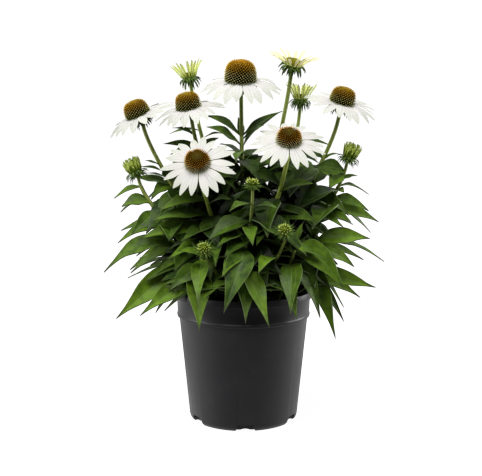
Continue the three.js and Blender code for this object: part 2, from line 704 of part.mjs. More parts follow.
function potBody() {
  const { height, rimRadius, collarRadius, collarBottom, bodyTopRadius, bodyBottomRadius } = pot;
  const { wall, soften } = pot;
  const lipBottom = height - pot.lipHeight;
  const outline = [
    [0, pot.floorBottom], [pot.footInnerRadius, pot.floorBottom], [pot.footInnerRadius, 0],
    [pot.footRadius, 0], [bodyBottomRadius, pot.footChamfer], [bodyTopRadius, collarBottom - 3 * soften],
    [collarRadius - soften, collarBottom - soften], [collarRadius + soften, lipBottom - soften],
    [rimRadius, lipBottom], [rimRadius, height], [rimRadius - 2 * soften - wall, height],
    [collarRadius - soften - wall, collarBottom + soften], [bodyTopRadius - wall, collarBottom - soften],
    [bodyBottomRadius - wall - soften, pot.floorTop], [0, pot.floorTop],
  ];
  const shell = new THREE.LatheGeometry(outline.map(([x, y]) => new THREE.Vector2(x, y)), pot.sides);
  shell.rotateX(Math.PI / 2);
  const notches = Array.from({ length: pot.notches }, (_, k) => {
    const cut = new THREE.BoxGeometry(20, pot.notchWidth, 2 * pot.notchHeight);
    cut.translate(bodyBottomRadius, 0, 0);
    cut.rotateZ(degToRad(pot.firstNotch + (360 * k) / pot.notches));
    return solid(cut);
  });
  return solid(shell).subtract(join(notches));
}

// The potting mix: it fills the pot, with a crumbly top and a plain hole in line with each stem's foot.
function soilBody(stems) {
  const { top, relief, rings, sides } = soil;
  const rise = pot.collarBottom - 3 * pot.soften - pot.footChamfer;
  const inner = (z) => (
    lerp(pot.bodyBottomRadius, pot.bodyTopRadius, (z - pot.footChamfer) / rise) - pot.wall - gap - 0.6
  );
  const bottom = pot.floorTop + gap;
  const wide = inner(bottom);
  const shoulder = pot.collarBottom - 3;
  const shape = [
    [0, bottom], [wide - 3, bottom], [wide, bottom + 2], [inner(shoulder), shoulder],
    [inner(shoulder), top - 3],
  ];
  rings.slice().reverse().forEach((radius) => shape.push([radius, top]));
  shape.push([0, top]);
  const mound = new THREE.LatheGeometry(shape.map(([x, y]) => new THREE.Vector2(x, y)), sides);
  mound.rotateX(Math.PI / 2);
  const points = mound.getAttribute('position');
  for (let k = 0; k < points.count; k += 1) {
    if (points.getZ(k) < top - 0.5) continue;
    const x = points.getX(k);
    const y = points.getY(k);
    points.setZ(k, top + relief * Math.sin(0.31 * x + 1.7 * Math.cos(0.19 * y)) * Math.cos(0.27 * y + 0.8));
  }
  const holes = stems.map((stem) => {
    const curve = stemCurve(stem);
    const foot = curve.getPoint(0);
    const along = curve.getPointAt(1 / ringsOf(stem)).sub(foot).normalize();
    const length = 1.7 * soil.holeDepth;
    const hole = new THREE.CylinderGeometry(soil.holeRadius, soil.holeRadius, length, soil.holeSides);
    hole.translate(0, length / 2 - 3 * gap, 0);
    hole.applyQuaternion(new THREE.Quaternion().setFromUnitVectors(vector(0, 1, 0), along));
    hole.translate(foot.x, foot.y, foot.z);
    return solid(hole);
  });
  return solid(mound).subtract(join(holes));
}

// ---------------------------------------------------------------- the plant

const plant = new THREE.Group();
plant.name = 'purple_coneflower_plant';

function addPiece(parent, name, geometry, paint) {
  const mesh = new THREE.Mesh(geometry, paint);
  mesh.name = name;
  parent.add(mesh);
  return mesh;
}

const shootList = shoots.map((shoot) => ({ ...shoot, node: `leafy_shoot_${shoot.name}` }));
const flowerList = flowers.map((flower, k) => ({
  ...flower, node: `leafy_stem_${flower.name}`, order: 29 * k,
}));
const budList = buds.map((bud) => ({ ...bud, node: `leafy_stem_${bud.name}` }));
const stems = [...shootList, ...flowerList, ...budList];

// Every solid that a leaf has to pass, with the node that it belongs to.
const obstacles = [];
const addObstacle = (owner, body) => obstacles.push({ owner, body, box: body.boundingBox() });

const potSolid = potBody();
const soilSolid = soilBody(stems);
addPiece(plant, 'nursery_pot', geometryOf(potSolid), material(colours.pot, 0.55));
addPiece(plant, 'potting_mix', geometryOf(soilSolid), material(colours.soil, 0.95));
addObstacle('nursery_pot', potSolid);
addObstacle('potting_mix', soilSolid);

// Heads: the rays and the cone of a bloom, or the knob of a bud, in a group that stands on the stem.
function addHead(stem) {
  const head = new THREE.Group();
  head.position.set(...stem.head);
  head.quaternion.setFromUnitVectors(up, axisOf(stem));
  plant.add(head);
  head.updateMatrixWorld(true);
  const seat = stem.rays ? ray.plateHalf + gap : -ray.plateHalf;
  const dome = domeBody(domes[stem.dome]).translate(0, 0, seat);
  const knob = stem.rays ? `cone_${stem.name}` : `knob_${stem.name}`;
  const ripe = ['ripe', 'full', 'facing'].includes(stem.dome);
  const tone = stem.rays ? (ripe ? colours.cone : colours.youngCone) : colours.bud;
  addPiece(head, knob, geometryOf(dome), material(tone, 0.7));
  addObstacle(knob, dome.transform(head.matrixWorld.elements));
  if (stem.rays) {
    const petals = rayBody(stem);
    const tint = ripe ? colours.petal : colours.cream;
    addPiece(head, `rays_${stem.name}`, geometryOf(petals), material(tint, 0.6));
    addObstacle(`rays_${stem.name}`, petals.transform(head.matrixWorld.elements));
  }
}
[...flowerList, ...budList].forEach(addHead);

// The bare stems, which the leaves then join.
stems.forEach((stem) => {
  stem.curve = stemCurve(stem);
  stem.pieces = [stalkBody(stem)];
  if (stem.name === forkBud.on) {
    const root = pointAtHeight(stem.curve, forkBud.height);
    const reach = vector(...forkBud.reach);
    const side = reach.clone().cross(up).normalize();
    const across = side.clone().cross(reach).normalize();
    const sizes = [[0, 1], [0.5, 1], [0.75, forkBud.radius], [1, forkBud.radius * 0.8]];
    const rings = sizes.map(([along, size]) => (
      ringAt(root.clone().addScaledVector(reach, along), side, across, circle(size, 5))
    ));
    stem.pieces.push(skin([...rings, [root.clone().addScaledVector(reach, 1.3)]]));
  }
  addObstacle(stem.node, join(stem.pieces));
});

const isNear = (a, b) => [0, 1, 2].every((axis) => (
  a.min[axis] < b.max[axis] + clearance && b.min[axis] < a.max[axis] + clearance
));

// Whether a leaf keeps clear of everything that isn't on its own stem.
function isFree(body, owner) {
  const box = body.boundingBox();
  const others = obstacles.filter((other) => other.owner !== owner && isNear(box, other.box));
  return others.every((other) => body.minGap(other.body, 2 * clearance) >= clearance);
}

// Hangs one leaf on its stem, bent aside as far as it needs. A leaf with no free place isn't grown.
function hangLeaf(stem, height, tip, width, arch, roll) {
  const base = pointAtHeight(stem.curve, height);
  const reach = vector(...tip).sub(base);
  for (const [turn, lift, bow] of bends) {
    const end = reach.clone().applyAxisAngle(up, degToRad(turn)).add(base).addScaledVector(up, lift);
    const blade = leafBlade({ base, tip: end, width, arch: arch + bow, roll });
    if (isFree(blade, stem.node)) {
      stem.pieces.push(blade);
      addObstacle(stem.node, blade);
      return;
    }
  }
}

// The leaves that each stem is known by, the low ones first, and then those that fill it up.
stems.forEach((stem) => stem.leaves.forEach((leaf) => hangLeaf(stem, ...leaf)));
stems.filter((stem) => stem.fill).forEach((stem) => {
  const { count, from, toward, spread } = stem.fill;
  for (let k = 0; k < count; k += 1) {
    const height = lerp(from[0], from[1], (k + 0.5) / count);
    const base = pointAtHeight(stem.curve, height);
    const turn = degToRad(toward + spread * wander(k + count));
    const free = (backReach - base.y) / (0.85 * Math.max(0.1, Math.sin(turn)));
    const length = Math.min(free, lerp(102, 62, (height - soil.top) / 180) * (1 + 0.1 * wander(k + 3)));
    // a leaf droops at the front and low down, and rises at the back
    const rise = Math.max(0, Math.sin(turn)) * smoothstep(height, 190, 230);
    const drop = length * (0.4 - 0.75 * rise + 0.16 * wander(k + 7));
    const out = vector(Math.cos(turn), Math.sin(turn), 0).multiplyScalar(0.85 * length);
    const tip = base.clone().add(out).setZ(height - drop);
    hangLeaf(stem, height, tip.toArray(), length * 0.23, length * 0.22, 0.7 + 0.5 * wander(k));
  }
});

stems.forEach((stem) => {
  addPiece(plant, stem.node, geometryOf(join(stem.pieces)), material(colours.leaf, 0.6));
});

export default plant;
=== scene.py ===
import bmesh
import bpy
import math
import numpy as np
from mathutils import Matrix, Vector
from mathutils.kdtree import KDTree


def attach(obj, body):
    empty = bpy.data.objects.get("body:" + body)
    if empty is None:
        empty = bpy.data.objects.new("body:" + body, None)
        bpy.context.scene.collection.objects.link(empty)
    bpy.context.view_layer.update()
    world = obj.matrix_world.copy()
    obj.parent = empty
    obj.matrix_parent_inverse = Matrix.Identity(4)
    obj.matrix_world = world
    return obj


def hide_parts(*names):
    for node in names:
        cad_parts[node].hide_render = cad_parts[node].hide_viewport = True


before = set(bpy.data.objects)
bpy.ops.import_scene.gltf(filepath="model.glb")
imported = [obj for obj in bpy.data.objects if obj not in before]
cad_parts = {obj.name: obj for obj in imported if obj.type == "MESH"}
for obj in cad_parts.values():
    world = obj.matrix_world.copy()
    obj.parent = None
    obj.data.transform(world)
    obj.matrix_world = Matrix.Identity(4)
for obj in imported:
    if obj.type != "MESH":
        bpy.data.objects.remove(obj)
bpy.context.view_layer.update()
print("frame loaded with", len(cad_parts), "solids")

mm = 0.001
upward = Vector((0, 0, 1))
goldenTurn = math.radians(137.508)


def wander(k):  # from -1 to 1, spread evenly by the golden section
    return 2 * ((k * 0.618034 + 0.35) % 1) - 1


def between(first, last, share):
    return first + (last - first) * share


def ease(share):
    return share * share * (3 - 2 * share)


def smoothStep(value, low, high):
    return ease(min(1, max(0, (value - low) / (high - low))))


def around(turn):  # a level direction
    return Vector((math.cos(turn), math.sin(turn), 0))


def pointing(lean, toward):  # lean from upright, and the side it leans to, in degrees
    lean, toward = math.radians(lean), math.radians(toward)
    return Vector((math.sin(lean) * math.cos(toward), math.sin(lean) * math.sin(toward), math.cos(lean)))


def through(rows, column, at):  # a smooth curve through the rows, read at a place along it
    places = [row[0] for row in rows]
    values = [row[column] for row in rows]
    k = max(i for i in range(len(rows) - 1) if places[i] <= at or i == 0)
    slopes = []
    for i in (k, k + 1):
        low, high = max(0, i - 1), min(len(rows) - 1, i + 1)
        slopes.append((values[high] - values[low]) / (places[high] - places[low]))
    span = places[k + 1] - places[k]
    t = (at - places[k]) / span
    return (values[k] * (1 + 2 * t) * (1 - t) ** 2 + values[k + 1] * t * t * (3 - 2 * t)
            + span * (slopes[0] * t * (1 - t) ** 2 - slopes[1] * t * t * (1 - t)))


def bezierPoint(points, t):
    while len(points) > 1:
        points = [a.lerp(b, t) for a, b in zip(points, points[1:])]
    return points[0]


def atHeight(points, height):  # the point of a stem's middle line at a height
    low, high = 0, 1
    for _ in range(40):
        middle = (low + high) / 2
        if bezierPoint(points, middle).z < height:
            low = middle
        else:
            high = middle
    return bezierPoint(points, low)


# Working by hand: select, move, scale and extrude.

def deselectAll():
    if bpy.context.object and bpy.context.object.mode == "EDIT":
        bpy.ops.object.mode_set(mode="OBJECT")
    bpy.ops.object.select_all(action="DESELECT")


def makeActive(piece):
    deselectAll()
    piece.select_set(True)
    bpy.context.view_layer.objects.active = piece


def startEdit(piece):
    makeActive(piece)
    bpy.ops.object.mode_set(mode="EDIT")
    bpy.ops.mesh.select_mode(type="VERT")


def endEdit():
    bpy.ops.object.mode_set(mode="OBJECT")


def pick(piece, test):  # selects the points that pass a test
    shape = bmesh.from_edit_mesh(piece.data)
    found = 0
    for vert in shape.verts:
        vert.select = bool(test(vert.co))
        found += vert.select
    shape.select_flush_mode()
    bmesh.update_edit_mesh(piece.data)
    return found


def shiftPoints(piece, test, offset):
    if pick(piece, test):
        bpy.ops.transform.translate(value=offset)


def scalePoints(piece, test, factors, centre):
    if pick(piece, test):
        bpy.ops.transform.resize(value=factors, center_override=centre)


def applyModifier(piece, kind, **settings):
    makeActive(piece)
    modifier = piece.modifiers.new(kind.lower(), kind)
    for name, value in settings.items():
        setattr(modifier, name, value)
    bpy.ops.object.modifier_apply(modifier=modifier.name)


def smoothShading(piece, degrees):
    makeActive(piece)
    bpy.ops.object.shade_smooth_by_angle(angle=math.radians(degrees))


def turnProfile(name, profile, sides):  # a round solid, extruded ring by ring along (radius, height) in mm
    deselectAll()
    profile = [(wide * mm, high * mm) for wide, high in profile]
    radius, height = profile[0]
    bpy.ops.mesh.primitive_circle_add(vertices=sides, radius=radius, fill_type="NGON",
                                      location=(0, 0, height))
    piece = bpy.context.object
    piece.name = name
    bpy.ops.object.transform_apply(location=True)
    startEdit(piece)
    pick(piece, lambda co: True)
    for nextRadius, nextHeight in profile[1:]:
        bpy.ops.mesh.extrude_region_move(TRANSFORM_OT_translate={"value": (0, 0, nextHeight - height)})
        wider = nextRadius / radius
        bpy.ops.transform.resize(value=(wider, wider, 1), center_override=(0, 0, nextHeight))
        radius, height = nextRadius, nextHeight
    bpy.ops.mesh.select_all(action="SELECT")
    bpy.ops.mesh.normals_make_consistent(inside=False)
    endEdit()
    return piece


def keepNumber(mesh, name, value):  # a number on every point, which the material reads
    layer = mesh.attributes.get(name) or mesh.attributes.new(name, "FLOAT", "POINT")
    layer.data.foreach_set("value", np.full(len(mesh.vertices), value, float))


def copyOf(master, place=None, **numbers):  # a copy with its own mesh and numbers
    copy = master.copy()
    copy.data = master.data.copy()
    bpy.context.collection.objects.link(copy)
    if place:
        copy.data.transform(place)
    for name, value in numbers.items():
        keepNumber(copy.data, name, value)
    return copy


def pointsOf(mesh):
    flat = np.empty(3 * len(mesh.vertices))
    mesh.vertices.foreach_get("co", flat)
    return flat.reshape(-1, 3)


def setPoints(mesh, points):
    mesh.vertices.foreach_set("co", points.ravel())
    mesh.update()


def joinParts(name, parts):
    deselectAll()
    for part in parts:
        part.select_set(True)
    bpy.context.view_layer.objects.active = parts[0]
    bpy.ops.object.join()
    piece = bpy.context.object
    piece.name = piece.data.name = name
    return piece


def handOver(piece, slot, *nodes):
    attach(piece, "root")
    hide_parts(*nodes)
    return piece


# Materials. A ramp is written as (from, to, value at the start, value at the end).

def startMaterial(name, look):
    material = bpy.data.materials.new(name)
    material.use_nodes = True
    shader = shaderOf(material)
    shader.inputs["Roughness"].default_value = look["roughness"]
    shader.inputs["Specular IOR Level"].default_value = look["specular"]
    return material


def shaderOf(material):
    return material.node_tree.nodes["Principled BSDF"]


def addNode(owner, kind, feeds=None, **settings):  # the owner is a material or the world
    made = owner.node_tree.nodes.new("ShaderNode" + kind)
    for name, value in settings.items():
        setattr(made, name, value)
    for name, value in (feeds or {}).items():
        socket = made.inputs[name]
        if isinstance(value, bpy.types.NodeSocket):
            owner.node_tree.links.new(value, socket)
        elif socket.type == "RGBA":
            socket.default_value = (*value, 1)
        else:
            socket.default_value = value
    return made


def feed(material, **feeds):
    for name, value in feeds.items():
        material.node_tree.links.new(value, shaderOf(material).inputs[name.replace("_", " ")])


def reckon(owner, operation, first, second=0.0):
    return addNode(owner, "Math", {0: first, 1: second}, operation=operation).outputs[0]


def plus(owner, first, second):
    return reckon(owner, "ADD", first, second)


def minus(owner, first, second):
    return reckon(owner, "SUBTRACT", first, second)


def times(owner, first, second):
    return reckon(owner, "MULTIPLY", first, second)


def absolute(owner, value):
    return reckon(owner, "ABSOLUTE", value)


def remap(material, value, low, high, atLow=0.0, atHigh=1.0):
    return addNode(material, "MapRange", {
        "Value": value, "From Min": low, "From Max": high, "To Min": atLow, "To Max": atHigh,
    }, interpolation_type="SMOOTHSTEP").outputs[0]


def blendColours(material, share, first, second, how="MIX"):
    return addNode(material, "Mix", {0: share, 6: first, 7: second}, data_type="RGBA",
                   blend_type=how).outputs[2]


def rampColours(material, value, *stops):
    ramp = addNode(material, "ValToRGB", {"Fac": value})
    elements = ramp.color_ramp.elements
    while len(elements) < len(stops):
        elements.new(1.0)
    for element, (place, colour) in zip(elements, stops):
        element.position = place
        element.color = (*colour, 1)
    return ramp.outputs["Color"]


def noiseOf(material, scale, detail=3.0, stretch=(1, 1, 1)):
    place = addNode(material, "TexCoord").outputs["Object"]
    if stretch != (1, 1, 1):
        place = addNode(material, "Mapping", {"Vector": place, "Scale": stretch}).outputs[0]
    return addNode(material, "TexNoise", {
        "Vector": place, "Scale": scale, "Detail": detail, "Roughness": 0.55}).outputs["Fac"]


def heightIn(material):
    place = addNode(material, "TexCoord").outputs["Object"]
    return addNode(material, "SeparateXYZ", {0: place}).outputs["Z"]


def kept(material, name):  # a number that the copies keep on their points
    return addNode(material, "Attribute", attribute_name=name).outputs["Fac"]


def surface(material, height, strength, distance):
    bump = addNode(material, "Bump", {"Height": height, "Strength": strength, "Distance": distance})
    feed(material, Normal=bump.outputs[0])


def bladePlace(material):  # across: 0 on the midrib, 1 at the edge; along: 0 at the base, 1 at the tip
    grid = addNode(material, "UVMap", uv_map="UVMap")
    split = addNode(material, "SeparateXYZ", {0: grid.outputs[0]})
    across = absolute(material, minus(material, times(material, split.outputs["X"], 2.0), 1.0))
    return across, split.outputs["Y"], split.outputs["X"]


def lineAt(material, across, place, width):  # 1 on a nerve, 0 off it
    return remap(material, absolute(material, minus(material, across, place)), 0.0, width, 1.0, 0.0)


def paintShadeInBush(material, colour, heart):  # painted shade: darker in the heart of the bush, where little light gets in
    return blendColours(material, kept(material, "inside"), colour, heart, "MULTIPLY")


leafLook = {
    "upper": {"deep": (0.013, 0.036, 0.001), "middle": (0.058, 0.113, 0.007), "lightGreen": (0.124, 0.225, 0.012),
              "nerve": (0.19, 0.27, 0.09), "tip": (0.035, 0.036, 0.020),
              "roughness": 0.36, "specular": 0.14},
    "under": {"deep": (0.035, 0.070, 0.016), "middle": (0.072, 0.125, 0.030), "lightGreen": (0.13, 0.21, 0.04),
              "nerve": (0.20, 0.28, 0.09), "tip": (0.05, 0.052, 0.03),
              "roughness": 0.6, "specular": 0.14},
}
leafGrain = {
    "patches": 110, "patchTone": (0.3, 0.7, -0.22, 0.22), "stops": (0.05, 0.5, 1.0),
    "midribWidth": 0.07, "sideNerve": (0.44, 0.06), "nerveShare": 0.55,
    "ribs": 26.0, "ribSlant": 3.2, "ribWidth": 0.22, "ribsOut": (0.05, 0.3), "ribShare": 0.12,
    # edge: a painted highlight, a light rim along the leaf's edge
    "edge": (0.94, 1.0, 0.0, 0.4), "dryTip": (0.86, 1.0, 0.0, 0.7),
    "grain": 900, "grainHeight": 0.25, "ribHeight": 0.35, "bump": (0.6, 0.0006),
    # heart: the colour that paints shade into the heart of the bush
    "roughOver": (0.25, 0.75), "smoother": 0.06, "rougher": 0.1, "heart": (0.075, 0.10, 0.04),
}


def leafMaterial(name, look, grain):
    material = startMaterial(name, look)
    across, along, _ = bladePlace(material)
    patches = noiseOf(material, grain["patches"], 4.0)
    # tone: each leaf's own wandering tone, plus painted light on leaves towards the sides and painted shade
    # on the small inner leaves
    toneWithPaintedLight = plus(material, kept(material, "tone"), remap(material, patches, *grain["patchTone"]))
    body = rampColours(material, toneWithPaintedLight, *zip(grain["stops"], (look["deep"], look["middle"], look["lightGreen"])))
    side = times(material, lineAt(material, across, *grain["sideNerve"]), kept(material, "veins"))
    nerves = reckon(material, "MAXIMUM", lineAt(material, across, 0.0, grain["midribWidth"]), side)
    slant = minus(material, times(material, along, grain["ribs"]),
                  times(material, across, grain["ribSlant"]))
    waves = absolute(material, reckon(material, "SINE", times(material, slant, math.pi)))
    ribs = times(material, remap(material, waves, 0.0, grain["ribWidth"], 1.0, 0.0),
                 remap(material, across, *grain["ribsOut"]))
    # the ribs and nerves are the leaf's own lighter lines and dryTip its own dry tip; the light band at the
    # edge is a painted highlight
    for share, colour in ((times(material, ribs, grain["ribShare"]), look["nerve"]),
                          (times(material, nerves, grain["nerveShare"]), look["nerve"]),
                          (remap(material, across, *grain["edge"]), look["nerve"]),
                          (remap(material, along, *grain["dryTip"]), look["tip"])):
        body = blendColours(material, share, body, colour)
    furrows = plus(material, nerves, times(material, ribs, grain["ribHeight"]))
    fine = times(material, noiseOf(material, grain["grain"], 2.0), grain["grainHeight"])
    surface(material, minus(material, fine, furrows), *grain["bump"])
    rough = remap(material, patches, *grain["roughOver"], look["roughness"] - grain["smoother"],
                  look["roughness"] + grain["rougher"])
    feed(material, Base_Color=paintShadeInBush(material, body, grain["heart"]), Roughness=rough)
    return material


# heart: the colour that paints shade into the heart of the bush
stalkLook = {
    "shade": (0.15, 0.205, 0.030), "light": (0.34, 0.40, 0.095), "flush": (0.20, 0.15, 0.05),
    # lightGreen: painted light, the colour that lightens the stems under the front blooms
    "lightGreen": (0.52, 0.64, 0.12), "heart": (0.5, 0.55, 0.4), "streaks": 260, "drawnOut": (1, 1, 0.05),
    "flushes": 18, "flushed": (0.55, 0.75, 0.0, 0.22), "bump": (0.6, 0.0005), "roughness": 0.5,
    "specular": 0.2,
}


def stalkMaterial(look):
    material = startMaterial("stalkGreen", look)
    streaks = noiseOf(material, look["streaks"], 3.0, look["drawnOut"])
    body = rampColours(material, streaks, (0.3, look["shade"]), (0.7, look["light"]))
    flush = remap(material, noiseOf(material, look["flushes"]), *look["flushed"])
    body = blendColours(material, flush, body, look["flush"])
    # painted light: the stems under the front blooms are lightened as if lit
    body = blendColours(material, kept(material, "tone"), body, look["lightGreen"])
    feed(material, Base_Color=paintShadeInBush(material, body, look["heart"]))
    surface(material, streaks, *look["bump"])
    return material


bractLook = {
    "base": (0.13, 0.20, 0.03), "end": (0.038, 0.075, 0.014), "ribWidth": 0.3, "ribShare": 0.35,
    "grain": 700, "bump": (0.3, 0.0003), "rough": (0.2, 0.8, 0.45, 0.65), "roughness": 0.55,
    "specular": 0.15,
}


def bractMaterial(look):
    material = startMaterial("bractGreen", look)
    across, along, _ = bladePlace(material)
    body = rampColours(material, along, (0.1, look["base"]), (0.75, look["end"]))
    rib = times(material, lineAt(material, across, 0.0, look["ribWidth"]), look["ribShare"])
    fine = noiseOf(material, look["grain"])
    feed(material, Base_Color=blendColours(material, rib, body, look["base"]),
         Roughness=remap(material, fine, *look["rough"]))
    surface(material, fine, *look["bump"])
    return material


# A petal's colour runs from its base, over its body from reach to fade, to its end.
petalLook = {
    # veinAndCreaseShade: darker lines, the petal's fine veins and painted shade in its creases
    "white": {"body": (0.59, 0.575, 0.555), "base": (0.52, 0.54, 0.36), "veinAndCreaseShade": (0.39, 0.37, 0.37),
              "end": (0.56, 0.58, 0.49), "edge": (0.51, 0.53, 0.43), "reach": 0.22, "fade": 0.35},
    "cream": {"body": (0.84, 0.80, 0.46), "base": (0.66, 0.64, 0.16), "veinAndCreaseShade": (0.72, 0.69, 0.32),
              "end": (0.60, 0.58, 0.46), "edge": (0.78, 0.75, 0.40), "reach": 0.5, "fade": 0.8},
    "lime": {"body": (0.68, 0.72, 0.24), "base": (0.20, 0.29, 0.02), "veinAndCreaseShade": (0.36, 0.46, 0.08),
             "end": (0.22, 0.24, 0.10), "edge": (0.42, 0.52, 0.10), "reach": 0.55, "fade": 0.82},
    "bud": {"body": (0.42, 0.52, 0.09), "base": (0.10, 0.15, 0.004), "veinAndCreaseShade": (0.15, 0.22, 0.01),
            "end": (0.07, 0.085, 0.03), "edge": (0.15, 0.22, 0.01), "reach": 0.45, "fade": 0.8},
}
petalGrain = {
    "grooveAt": (0.36, 0.14), "lines": 58.0, "lined": (0.1, 1.0, 0.0, 0.35), "edged": (0.72, 1.0, 0.0, 0.6),
    "tinted": (0.0, 1.0, 0.3, 0.75), "mottle": 300, "rough": (0.2, 0.8, 0.42, 0.6), "grain": 500,
    "bump": (0.35, 0.0003), "roughness": 0.5, "specular": 0.15,
}


def petalMaterial(name, look, grain):
    material = startMaterial(name, grain)
    across, along, side = bladePlace(material)
    body = rampColours(material, along, (0.0, look["base"]), (look["reach"], look["body"]),
                       (look["fade"], look["body"]), (1.0, look["end"]))
    waves = reckon(material, "SINE", times(material, side, grain["lines"]))
    grooves = reckon(material, "MAXIMUM", lineAt(material, across, *grain["grooveAt"]),
                     remap(material, waves, *grain["lined"]))
    body = blendColours(material, remap(material, across, *grain["edged"]), body, look["edge"])
    # the veins and creases are tinted darker: the veins' own colour and painted shade in the creases
    tint = times(material, grooves, remap(material, kept(material, "tone"), *grain["tinted"]))
    feed(material, Base_Color=blendColours(material, tint, body, look["veinAndCreaseShade"]),
         Roughness=remap(material, noiseOf(material, grain["mottle"]), *grain["rough"]))
    surface(material, minus(material, noiseOf(material, grain["grain"]), grooves), *grain["bump"])
    return material


# Spikes, from the foot of the dome to its crown: the colour at a spike's root and at its tip.
# The dark roots are partly the cone's own colour and partly painted shade in the gaps between the spikes.
spikeLook = {
    "ripeCone": {
        "root": [(0.0, (0.004, 0.006, 0.001)), (0.45, (0.020, 0.014, 0.001)), (0.75, (0.13, 0.055, 0.002)),
                 (1.0, (0.36, 0.18, 0.007))],
        "tip": [(0.0, (0.20, 0.22, 0.05)), (0.3, (0.54, 0.48, 0.20)), (0.52, (0.50, 0.29, 0.022)),
                (1.0, (0.60, 0.33, 0.012))]},
    "sideCone": {
        "root": [(0.0, (0.008, 0.011, 0.001)), (0.4, (0.040, 0.028, 0.001)), (0.75, (0.14, 0.070, 0.003)),
                 (1.0, (0.24, 0.15, 0.006))],
        "tip": [(0.0, (0.20, 0.23, 0.05)), (0.3, (0.46, 0.40, 0.14)), (0.55, (0.44, 0.23, 0.018)),
                (1.0, (0.42, 0.30, 0.013))]},
    "facingCone": {
        "root": [(0.0, (0.004, 0.006, 0.001)), (0.35, (0.006, 0.005, 0.001)), (0.68, (0.045, 0.020, 0.001)),
                 (1.0, (0.050, 0.045, 0.002))],
        "tip": [(0.0, (0.24, 0.26, 0.08)), (0.3, (0.58, 0.46, 0.20)), (0.52, (0.50, 0.22, 0.016)),
                (0.76, (0.32, 0.15, 0.006)), (0.9, (0.17, 0.15, 0.006)), (1.0, (0.16, 0.16, 0.006))]},
    "youngCone": {
        "root": [(0.0, (0.20, 0.15, 0.008)), (0.6, (0.15, 0.14, 0.005)), (1.0, (0.12, 0.13, 0.004))],
        "tip": [(0.0, (0.50, 0.42, 0.05)), (0.5, (0.36, 0.33, 0.015)), (1.0, (0.26, 0.26, 0.012))]},
    "bud": {
        "root": [(0.0, (0.05, 0.09, 0.006)), (1.0, (0.20, 0.27, 0.014))],
        "tip": [(0.0, (0.50, 0.60, 0.14)), (0.5, (0.62, 0.70, 0.14)), (1.0, (0.50, 0.58, 0.07))]},
}
spikeGrain = {
    "patches": 320, "uneven": (0.3, 0.7, -0.08, 0.08), "tipFrom": (0.62, 0.86), "grain": 1200,
    "bump": (0.3, 0.0003), "roughness": 0.48, "specular": 0.03,
}


def spikeMaterial(name, look, grain):
    material = startMaterial(name, grain)
    uneven = remap(material, noiseOf(material, grain["patches"]), *grain["uneven"])
    rise = plus(material, kept(material, "rise"), uneven)
    # painted shade: the dark root colours also stand for the shade between the spikes
    root = rampColours(material, rise, *look["root"])
    tip = rampColours(material, rise, *look["tip"])
    share = remap(material, kept(material, "reach"), *grain["tipFrom"])
    feed(material, Base_Color=blendColours(material, share, root, tip))
    surface(material, noiseOf(material, grain["grain"]), *grain["bump"])
    return material


# Painted shade: the wall is darker and smoother from its collar up, where the leaves hang over it.
potLook = {
    "dark": (0.0190, 0.0190, 0.0212), "worn": (0.032, 0.032, 0.034), "paintedCollarShade": (0.0012, 0.0012, 0.0014),
    "clouds": 14, "clouded": (0.35, 0.75, 0.0, 0.3), "dust": 60, "dusty": (0.52, 0.72, 0.0, 0.35),
    "paintedCollarShadeFrom": (0.115, 0.140, 0.0, 0.9), "rough": (0.3, 0.7, 0.36, 0.5), "collarShadeGloss": -0.1,
    "grain": 1800, "bump": (0.12, 0.0002), "roughness": 0.42, "specular": 0.4,
}


def potMaterial(look):
    material = startMaterial("charcoalPlastic", look)
    cloud = noiseOf(material, look["clouds"], 5.0)
    dust = remap(material, noiseOf(material, look["dust"], 6.0), *look["dusty"])
    # painted shade from the collar up: a darker colour, and a smoother surface that mirrors the dark sky in
    # front
    paintedCollarShade = remap(material, heightIn(material), *look["paintedCollarShadeFrom"])
    body = blendColours(material, remap(material, cloud, *look["clouded"]), look["dark"], look["worn"])
    body = blendColours(material, dust, body, look["worn"])
    body = blendColours(material, paintedCollarShade, body, look["paintedCollarShade"])
    gloss = times(material, paintedCollarShade, look["collarShadeGloss"])
    feed(material, Base_Color=body, Roughness=plus(material, remap(material, cloud, *look["rough"]), gloss))
    surface(material, noiseOf(material, look["grain"], 2.0), *look["bump"])
    return material


# foot: near black, painted shade where the mix shows through the notches in the pot's foot
mixLook = {
    "wet": (0.010, 0.006, 0.004), "bark": (0.055, 0.030, 0.016), "foot": (0.003, 0.002, 0.002),
    "paintedFootShadeTo": (0.01, 0.03, 0.9, 0.0), "lumps": 240, "rough": (0.3, 0.7, 0.95, 0.75), "grain": 900,
    "bump": (0.8, 0.0015), "roughness": 0.9, "specular": 0.5,
}


def mixMaterial(look):
    material = startMaterial("pottingMix", look)
    lumps = noiseOf(material, look["lumps"], 5.0)
    body = rampColours(material, lumps, (0.35, look["wet"]), (0.75, look["bark"]))
    # painted shade: the mix turns near black towards its foot
    body = blendColours(material, remap(material, heightIn(material), *look["paintedFootShadeTo"]), body, look["foot"])
    feed(material, Base_Color=body, Roughness=remap(material, lumps, *look["rough"]))
    surface(material, noiseOf(material, look["grain"], 4.0), *look["bump"])
    return material


floorLook = {"dim": (0.46, 0.46, 0.46), "pale": (0.50, 0.50, 0.50), "roughness": 0.9, "specular": 0.0}


def floorMaterial(look):
    material = startMaterial("paleFloor", look)
    paper = noiseOf(material, 4)
    feed(material, Base_Color=rampColours(material, paper, (0.3, look["dim"]), (0.7, look["pale"])))
    return material


# The camera, the light and the floor.

